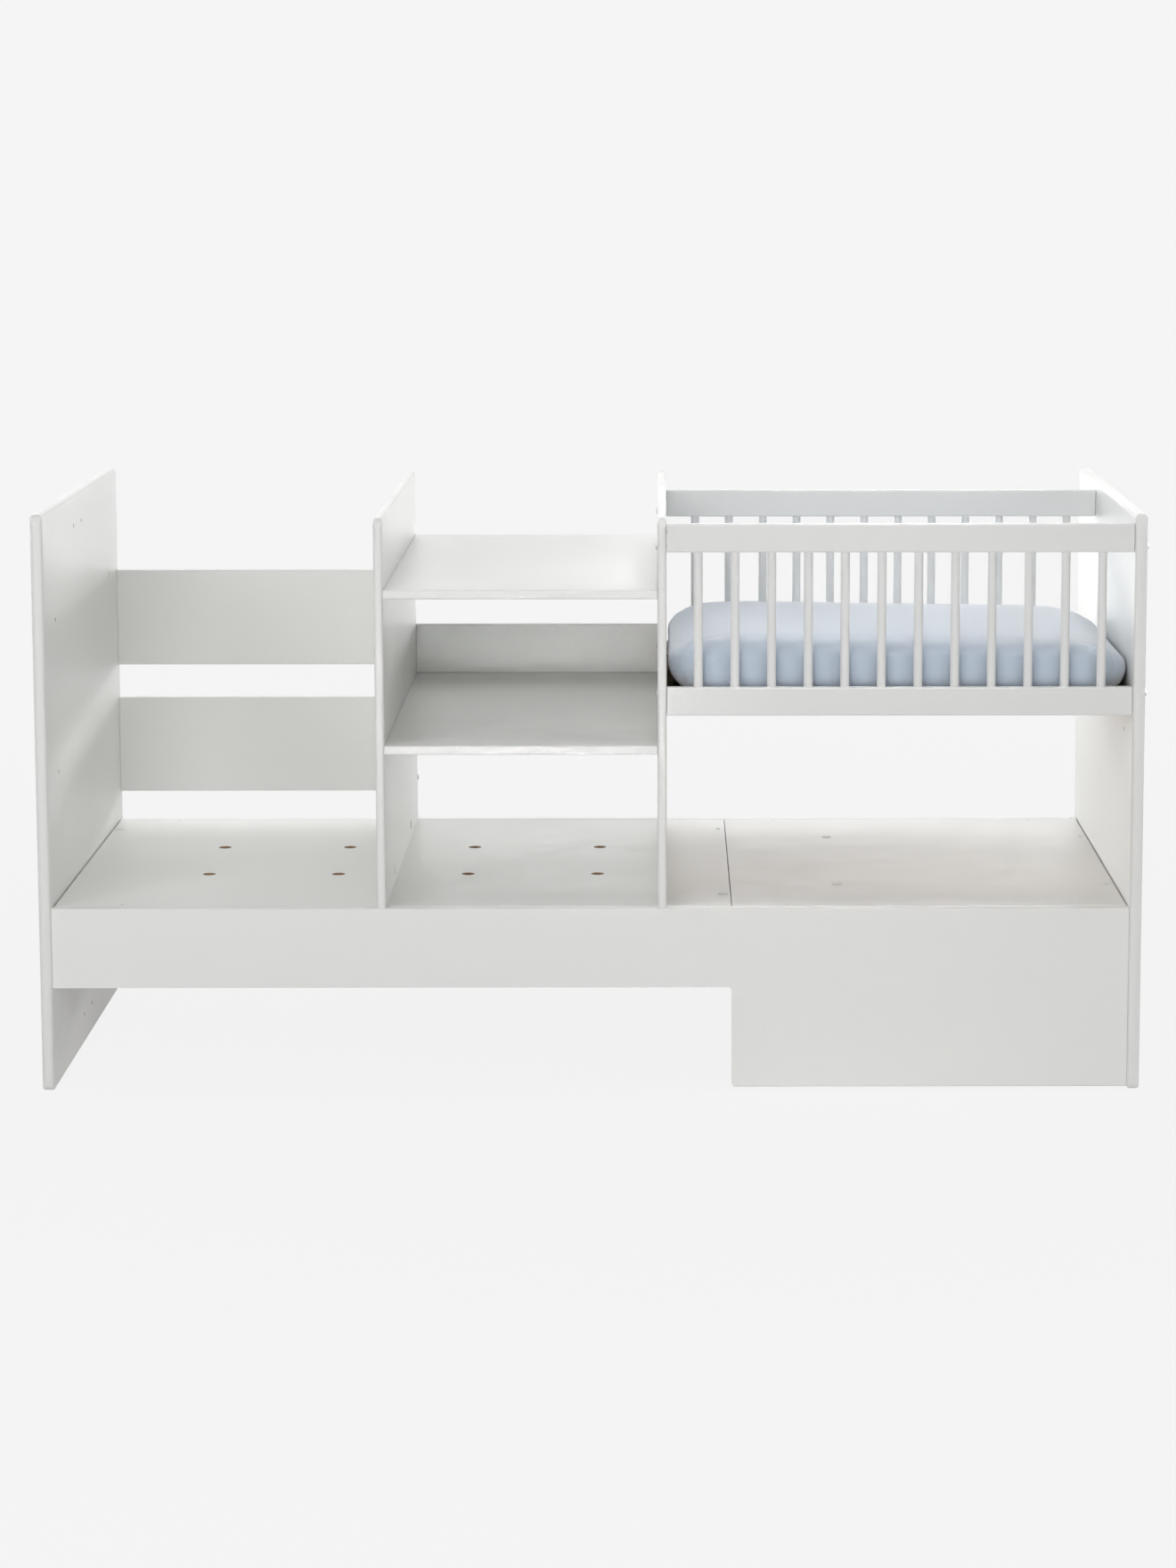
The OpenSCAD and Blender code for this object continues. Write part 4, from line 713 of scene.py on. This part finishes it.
def side_swell(points):
    """Outward move of the long sides, in metres: behind the bars it is negative.

    In each gap the arch is one less a power of the distance from the gap's middle, less
    a square of the height above the arch's foot, and its root gives a round pillow.
    The move fades out over the shoulder, towards the middle of the mattress."""
    height = points[:, 2] - MATTRESS_LOW.z
    gap = (points[:, 0] - BAR_FIRST) / BAR_PITCH
    middle = 2 * np.abs(gap - np.floor(gap) - 0.5)
    over = np.maximum(height - ARCH_HEIGHT + ARCH_DROP, 0) / ARCH_DROP
    arch = np.clip(1 - middle ** ARCH_POWER - over ** 2, 0, 1) ** PILLOW
    inset = HALF_WIDTH - np.abs(points[:, 1] - MIDDLE.y)
    near = np.clip(1 - (inset - FULL_SWELL) / SIDE_FADE, 0, 1)
    first, last = BAR_FIRST - points[:, 0], points[:, 0] - BAR_LAST
    ends = np.clip(1 - np.maximum(first, last) / END_FADE, 0, 1)
    return ((HELD_BACK + SWELLS) * arch - HELD_BACK) * near * ends


def corner_pull(points):
    """Creases that fan out from each corner: a fast wave of the angle, fading with distance."""
    away_x = HALF_LENGTH - CREASE_INSET - np.abs(points[:, 0] - MIDDLE.x)
    away_y = HALF_WIDTH - CREASE_INSET - np.abs(points[:, 1] - MIDDLE.y)
    angle = np.arctan2(away_y, away_x)
    fade = np.exp(-(np.hypot(away_x, away_y) / CREASE_REACH) ** 2)
    return CREASE_DEPTH * fade * np.cos(CREASES * angle + CREASE_TURN)


def keep_clear(points):
    """Holds the mattress inside the crib: off the end boards, the rails, the bars and the floor.

    The limit to the front and back is the rail's inner face up to its top, and runs out to
    the bars' inner line above it."""
    points[:, 0] = np.clip(points[:, 0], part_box("divider_right")[1].x + BOARD_GAP,
                           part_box("right_end_panel")[0].x - BOARD_GAP)
    over_rail = np.clip((points[:, 2] - FRONT_RAIL.z - OVER_RAIL) / RAIL_TO_BAR, 0, 1)
    front = FRONT_RAIL.y + RAIL_GAP + over_rail * (BAR_HIGH.y + BAR_GAP - FRONT_RAIL.y)
    back = BACK_RAIL - RAIL_GAP + over_rail * (BACK_BARS - BAR_GAP - BACK_RAIL)
    points[:, 1] = np.clip(points[:, 1], front, back)
    points[:, 2] = np.maximum(points[:, 2], MATTRESS_LOW.z)
    return points


smooth = mattress.modifiers.new("finer_cloth", "SUBSURF")
smooth.levels = smooth.render_levels = 1
select_only(mattress)
bpy.ops.object.modifier_apply(modifier=smooth.name)
points = read_points(mattress)
points[:, 1] += np.sign(points[:, 1] - MIDDLE.y) * side_swell(points)
points[:, 2] += corner_pull(points) * np.clip((points[:, 2] - MATTRESS_LOW.z) / THICKNESS, 0, 1)
write_points(mattress, keep_clear(points))
mattress.data.polygons.foreach_set("use_smooth", np.ones(len(mattress.data.polygons), bool))
print("sheeted mattress:", len(mattress.data.polygons), "faces")

# %% [markdown]
# ## Woven cotton
#
# The threads of a sheet follow the cloth over the edge and down the side. The position on
# the object would slice through them there, so each point gets its own cloth coordinate:
# the position on the top, continued by the drop below the top edge on the sides.

# %% Cloth coordinates and the underside of the mattress
TURNED_UNDER, HEM_EDGE, FACES_DOWN = 0.085, 0.004, -0.5


def cloth_coordinates(points, normals):
    """Where each point lies on the flat sheet: x and y, plus the drop times the outward lean."""
    drop = np.maximum(MATTRESS_HIGH.z - CROWN - points[:, 2], 0)
    flat = points[:, :2] + drop[:, None] * normals[:, :2]
    return np.concatenate([flat, np.zeros((len(points), 1))], 1)


def bare_underside(points, normals):
    """One on the mattress's own cover below, nought where the sheet is turned under."""
    room = np.minimum(HALF_LENGTH - np.abs(points[:, 0] - MIDDLE.x),
                      HALF_WIDTH - np.abs(points[:, 1] - MIDDLE.y))
    return np.clip((room - TURNED_UNDER) / HEM_EDGE, 0, 1) * (normals[:, 2] < FACES_DOWN)


def read_normals(thing):
    """The mesh's point normals as rows of x, y, z."""
    flat = np.empty(len(thing.data.vertices) * 3, np.float32)
    thing.data.vertices.foreach_get("normal", flat)
    return flat.reshape(-1, 3)


points, normals = read_points(mattress), read_normals(mattress)
on_cloth = cloth_coordinates(points, normals)
threads = mattress.data.attributes.new("threads", "FLOAT_VECTOR", "POINT")
threads.data.foreach_set("vector", on_cloth.astype(np.float32).ravel())
underside = mattress.data.attributes.new("underside", "FLOAT", "POINT")
underside.data.foreach_set("value", bare_underside(points, normals).astype(np.float32))
print("cloth coordinates span", np.ptp(on_cloth, axis=0).round(3)[:2], "m")

# %% A node group for woven cotton
def make_woven_cotton():
    """Colour and height of a plain weave: two sets of threads that pass over each other.

    The height is the product of a wave across and a wave along the cloth, with the thread
    thickness wandering slowly; the colour darkens a little in the gaps between threads."""
    takes = [("Cloth place", VECTOR, (0, 0, 0)), ("Tint", COLOUR, (0.6, 0.7, 0.8, 1)),
             ("Threads per metre", NUMBER, 1500.0)]
    tree, given, result = open_group("woven_cotton", takes, PATTERN)
    spot = given.outputs["Cloth place"]
    parts = place(tree, "ShaderNodeSeparateXYZ", {0: spot})
    step = reckon(tree, "MULTIPLY", given.outputs["Threads per metre"], math.pi)
    warp = reckon(tree, "SINE", reckon(tree, "MULTIPLY", parts.outputs[0], step))
    weft = reckon(tree, "SINE", reckon(tree, "MULTIPLY", parts.outputs[1], step))
    weave = reckon(tree, "MULTIPLY_ADD", reckon(tree, "MULTIPLY", warp, weft), 0.5, 0.5)
    slub, cloud = noise(tree, spot, 240.0, 3.0), noise(tree, spot, 9.0, 3.0)
    gain = reckon(tree, "MULTIPLY_ADD", weave, 0.05, 0.955)
    gain = swing(tree, cloud, 0.06, reckon(tree, "MULTIPLY_ADD", slub, 0.04, gain))
    wire(tree, result, Color=scaled(tree, given.outputs["Tint"], gain),
         Height=reckon(tree, "MULTIPLY_ADD", slub, 0.8, weave))
    return tree


woven_cotton = make_woven_cotton()
SHEET_BLUE, TICKING = (0.53, 0.614, 0.722, 1), (0.72, 0.72, 0.69, 1)
COTTON_SKIN = {"IOR": 1.4, "Roughness": 0.9, "Sheen_Weight": 1.0, "Sheen_Roughness": 0.6}


def make_sheet_material():
    """Pale blue cotton all round and white ticking below, with the soft sheen of loose fibres."""
    material, tree, shader = start_material("pale_blue_cotton", **COTTON_SKIN)
    place_on_cloth = place(tree, "ShaderNodeAttribute", attribute_name="threads").outputs["Vector"]
    below = place(tree, "ShaderNodeAttribute", attribute_name="underside").outputs["Fac"]
    cotton = use_group(tree, woven_cotton, Tint=SHEET_BLUE)
    ticking = use_group(tree, woven_cotton, Tint=TICKING, Threads_per_metre=900.0)
    for cloth in (cotton, ticking):
        wire(tree, cloth, Cloth_place=place_on_cloth)
    colour = blend_colours(tree, below, cotton.outputs["Color"], ticking.outputs["Color"])
    wire(tree, shader, Base_Color=colour)
    relief(tree, shader, cotton.outputs["Height"], depth=0.00012, strength=0.7)
    return material


mattress.data.materials.append(make_sheet_material())
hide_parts("mattress")
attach(mattress, "crib_mattress")
print("the mattress is dressed")

# %% [markdown]
# ## The corner seams
#
# A fitted sheet is cut flat and sewn up at its four corners. Each seam is a narrow ridge
# that climbs the corner, with a row of stitches down its middle. Its path is found by
# casting rays outwards from inside the mattress, which is how a strip can be laid exactly
# on any surface. A small closed oval is then carried along the path.

# %% Lay the seams on the corners
SEAM_WIDTH, SEAM_HEIGHT, SEAM_STEPS, SEAM_SIDES = 0.0052, 0.0013, 72, 12
RAY_INSET, LOWEST_RAY, HIGHEST_RAY = 0.1, -38, 24
TIP, TIP_SHARPNESS = 0.02, 6
STITCH, DASH, STITCH_HALF_WIDTH = 0.0034, 0.72, 0.0006


def corner_path(side_x, side_y, surface, count):
    """Places and normals up one corner, from rays that rise from below to above the level."""
    heart = Vector((MIDDLE.x + side_x * (HALF_LENGTH - RAY_INSET),
                    MIDDLE.y + side_y * (HALF_WIDTH - RAY_INSET), MATTRESS_LOW.z + LOWER_ROLL))
    out = Vector((side_x, side_y, 0)).normalized()
    hits = []
    for climb in np.radians(np.linspace(LOWEST_RAY, HIGHEST_RAY, count)):
        ray = out * math.cos(climb) + Vector((0, 0, 1)) * math.sin(climb)
        spot, normal, _, _ = surface.ray_cast(heart, ray)
        hits.append((*spot, *normal))
    hits = np.array(hits)
    return hits[:, :3], hits[:, 3:]


def seam_strip(path, normals, sides):
    """An oval carried along a path: half its width to each side, half its height up and down."""
    along = np.gradient(path, axis=0)
    along /= np.linalg.norm(along, axis=1, keepdims=True)
    across = np.cross(along, normals)
    across /= np.linalg.norm(across, axis=1, keepdims=True)
    turn = np.linspace(0, 2 * np.pi, sides, endpoint=False)
    swell = np.sin(np.linspace(TIP, np.pi - TIP, len(path))) * TIP_SHARPNESS
    taper = np.sqrt(np.clip(swell, 0, 1))
    wide = (SEAM_WIDTH / 2) * taper[:, None] * np.cos(turn)
    tall = (SEAM_HEIGHT / 2) * taper[:, None] * np.sin(turn)
    return path[:, None] + across[:, None] * wide[..., None] + normals[:, None] * tall[..., None]


squares = np.empty(len(mattress.data.loops), np.int32)
mattress.data.loops.foreach_get("vertex_index", squares)
surface = BVHTree.FromPolygons(read_points(mattress).tolist(), squares.reshape(-1, 4).tolist())
strips, runs, faces, caps = [], [], [], []
for side_x, side_y in ((-1, -1), (1, -1), (-1, 1), (1, 1)):
    path, lean_out = corner_path(side_x, side_y, surface, SEAM_STEPS)
    first = len(strips) * SEAM_STEPS * SEAM_SIDES
    strips.append(seam_strip(path, lean_out, SEAM_SIDES).reshape(-1, 3))
    run = np.concatenate([[0], np.cumsum(np.linalg.norm(np.diff(path, axis=0), axis=1))])
    turn = np.linspace(0, 2 * np.pi, SEAM_SIDES, endpoint=False)
    runs.append(np.stack(np.broadcast_arrays(run[:, None], SEAM_WIDTH / 2 * np.cos(turn), 0.0), -1))
    faces.append(first + grid_faces(SEAM_STEPS, SEAM_SIDES))
    last = first + (SEAM_STEPS - 1) * SEAM_SIDES
    caps += [tuple(first + i for i in range(SEAM_SIDES - 1, -1, -1)),
             tuple(last + i for i in range(SEAM_SIDES))]
seams = mesh_from("sheet_corner_seams", keep_clear(np.concatenate(strips)),
                  np.concatenate(faces), caps)
flow = seams.data.attributes.new("seam_run", "FLOAT_VECTOR", "POINT")
flow.data.foreach_set("vector", np.concatenate(runs).astype(np.float32).ravel())
seams.data.polygons.foreach_set("use_smooth", np.ones(len(seams.data.polygons), bool))
print("four seams,", round(float(run[-1]) * 1000), "mm each")

# %% Stitched cotton for the seams
def make_stitch_row():
    """Colour and height of a line of stitches: dashes along the run, hollows between them."""
    takes = [("Run", VECTOR, (0, 0, 0)), ("Cloth", COLOUR, (0.6, 0.7, 0.8, 1)),
             ("Thread", COLOUR, (0.8, 0.85, 0.9, 1)), ("Stitch length", NUMBER, 0.003)]
    tree, given, result = open_group("stitch_row", takes, PATTERN)
    parts = place(tree, "ShaderNodeSeparateXYZ", {0: given.outputs["Run"]})
    stitches = reckon(tree, "DIVIDE", parts.outputs[0], given.outputs["Stitch length"])
    phase = reckon(tree, "FRACT", stitches)
    middle = reckon(tree, "LESS_THAN", reckon(tree, "ABSOLUTE", parts.outputs[1]), STITCH_HALF_WIDTH)
    thread = reckon(tree, "MULTIPLY", reckon(tree, "LESS_THAN", phase, DASH), middle)
    arch = reckon(tree, "SINE", reckon(tree, "MULTIPLY", phase, math.pi / DASH))
    hollow = reckon(tree, "MULTIPLY", middle, -0.4)
    colour = blend_colours(tree, thread, given.outputs["Cloth"], given.outputs["Thread"])
    wire(tree, result, Color=colour, Height=reckon(tree, "MULTIPLY_ADD", thread, arch, hollow))
    return tree


def make_seam_material():
    """The sheet's cotton with a stitch row down the middle."""
    material, tree, shader = start_material("stitched_cotton", **COTTON_SKIN)
    run = place(tree, "ShaderNodeAttribute", attribute_name="seam_run").outputs["Vector"]
    cotton = use_group(tree, woven_cotton, Tint=SHEET_BLUE, Cloth_place=run)
    stitches = use_group(tree, stitch_row, Thread=(0.72, 0.78, 0.85, 1), Stitch_length=STITCH,
                         Run=run, Cloth=cotton.outputs["Color"])
    wire(tree, shader, Base_Color=stitches.outputs["Color"])
    height = reckon(tree, "MULTIPLY_ADD", stitches.outputs["Height"], 3.0, cotton.outputs["Height"])
    relief(tree, shader, height, depth=0.00015, strength=0.8)
    return material


stitch_row = make_stitch_row()
seams.data.materials.append(make_seam_material())
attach(seams, "crib_mattress")
print("seams sewn")

# %% [markdown]
# ## Floor, background and light
#
# The photograph has a pale even ground. The floor is a real surface that sends light back
# up under the shelves; only what the camera sees of it directly is lifted to the pale
# ground colour, and a share of true shading stays in, so the crib keeps its soft shadow.

# %% The floor and the world
GROUND, FLOOR_PAINT, EVEN_LIGHT = (0.912, 0.912, 0.912, 1), (0.92, 0.92, 0.92, 1), 0.04
SHADOW_SHARE, SHADOW_NARROWNESS = 0.05, 0.12


def seen_directly(tree):
    """One for rays from the camera, from a mirror-like surface or through glass."""
    path = place(tree, "ShaderNodeLightPath")
    seen = reckon(tree, "MAXIMUM", path.outputs["Is Camera Ray"], path.outputs["Is Glossy Ray"])
    return reckon(tree, "MAXIMUM", seen, path.outputs["Is Transmission Ray"])


def make_floor():
    """A wide flat floor at height nought, pale where it is seen directly.

    The share of true shading is a bell of the distance from the crib, so that the shadow
    stays under it and the far floor runs into the background without a horizon."""
    corners = np.array([[-30, -30, 0], [30, -30, 0], [30, 60, 0], [-30, 60, 0]], float)
    floor = mesh_from("floor", corners, np.array([[0, 1, 2, 3]]))
    material = bpy.data.materials.new("pale_floor")
    material.use_nodes = True
    tree = material.node_tree
    tree.nodes.clear()
    true = place(tree, "ShaderNodeBsdfDiffuse", {"Color": FLOOR_PAINT})
    pale = place(tree, "ShaderNodeEmission", {"Color": GROUND, "Strength": 1.0})
    far = place(tree, "ShaderNodeVectorMath", {0: here(tree)}, operation="LENGTH").outputs["Value"]
    fall = reckon(tree, "MULTIPLY", reckon(tree, "MULTIPLY", far, far), -SHADOW_NARROWNESS)
    share = reckon(tree, "MULTIPLY", reckon(tree, "EXPONENT", fall), SHADOW_SHARE)
    lift = reckon(tree, "MULTIPLY", seen_directly(tree), reckon(tree, "SUBTRACT", 1.0, share))
    both = place(tree, "ShaderNodeMixShader", {0: lift, 1: true.outputs[0], 2: pale.outputs[0]})
    place(tree, "ShaderNodeOutputMaterial", {0: both.outputs[0]})
    floor.data.materials.append(material)


def light_world():
    """Even white light from all around; seen directly it is the pale ground colour."""
    world = bpy.data.worlds.new("pale_studio")
    bpy.context.scene.world = world
    world.use_nodes = True
    tree = world.node_tree
    tree.nodes.clear()
    even = place(tree, "ShaderNodeBackground", {"Color": (1, 1, 1, 1), "Strength": EVEN_LIGHT})
    pale = place(tree, "ShaderNodeBackground", {"Color": GROUND, "Strength": 1.0})
    both = place(tree, "ShaderNodeMixShader", {0: seen_directly(tree), 1: even.outputs[0],
                                               2: pale.outputs[0]})
    place(tree, "ShaderNodeOutputWorld", {0: both.outputs[0]})


make_floor()
light_world()
print("floor and world ready")

# %% [markdown]
# ## The lamps
#
# The photograph has almost no shadows, because white furniture was lit from all sides.
# Eight large lamps give that light. The last six are small, with a narrow beam, and send
# a little light into the places that the boards keep in the dark.

# %% Hang the lamps
def hang_softbox(name, spot, aim, width, height, watts, spread=180):
    """A soft lamp at a spot, turned towards the aim; a spread below 180 narrows its beam."""
    lamp = bpy.data.lights.new(name, "AREA")
    lamp.shape = "RECTANGLE"
    lamp.size, lamp.size_y = width, height
    lamp.energy = watts
    lamp.spread = math.radians(spread)
    holder = bpy.data.objects.new(name, lamp)
    holder.location = spot
    holder.rotation_euler = (Vector(aim) - Vector(spot)).to_track_quat("-Z", "Y").to_euler()
    holder.visible_camera = False
    bpy.context.scene.collection.objects.link(holder)


# name: spot, aim, width, height, watts and, for a narrow beam, its spread in degrees
LAMPS = {
    "key_left_front": ((-3.4, -4.4, 3.2), (0, 0, 0.5), 2.2, 2.2, 64),
    "overhead": ((0, -0.3, 4.2), (0, 0, 0), 4.0, 3.0, 42),
    "front_middle": ((0, -5.5, 2.4), (0, 0, 0.6), 4.0, 2.0, 74),
    "low_front_left": ((-1.3, -5.6, 0.95), (0, 0, 0.65), 1.2, 0.8, 24),
    "low_front_right": ((4.5, -3.5, 1.0), (0, 0, 0.5), 2.6, 2.0, 28),
    "right_side": ((5.4, 0.6, 1.8), (0.9, 0, 0.5), 2.6, 2.2, 68),
    "wall_behind": ((0, 4.2, 1.9), (0, 0, 0.9), 8.0, 3.6, 94),
    "back_left": ((-5.5, 3.2, 1.3), (0, 0, 0.6), 5.0, 2.6, 90),
    "over_crib": ((0.95, -0.5, 2.9), (0.49, -0.15, 0.8), 0.7, 0.5, 0.85, 27),
    "under_crib": ((-1.3, 3.3, 0.75), (0.75, 0, 0.42), 0.5, 0.3, 0.95, 26),
    "under_shelf": ((1.7, 3.3, 0.7), (-0.33, 0.05, 0.42), 0.5, 0.3, 0.3, 20),
    "into_open_bay": ((0.3, 3.4, 0.75), (-0.75, 0, 0.36), 0.5, 0.3, 0.38, 18),
    "into_crib": ((-1.3, 3.0, 1.7), (0.95, -0.15, 0.85), 0.5, 0.3, 0.28, 16),
    "between_shelves": ((-0.12, -4.6, 0.55), (-0.12, 0.4, 0.68), 0.4, 0.2, 0.13, 9),
}
for name, setting in LAMPS.items():
    hang_softbox(name, *setting)
print(len(LAMPS), "soft lamps")
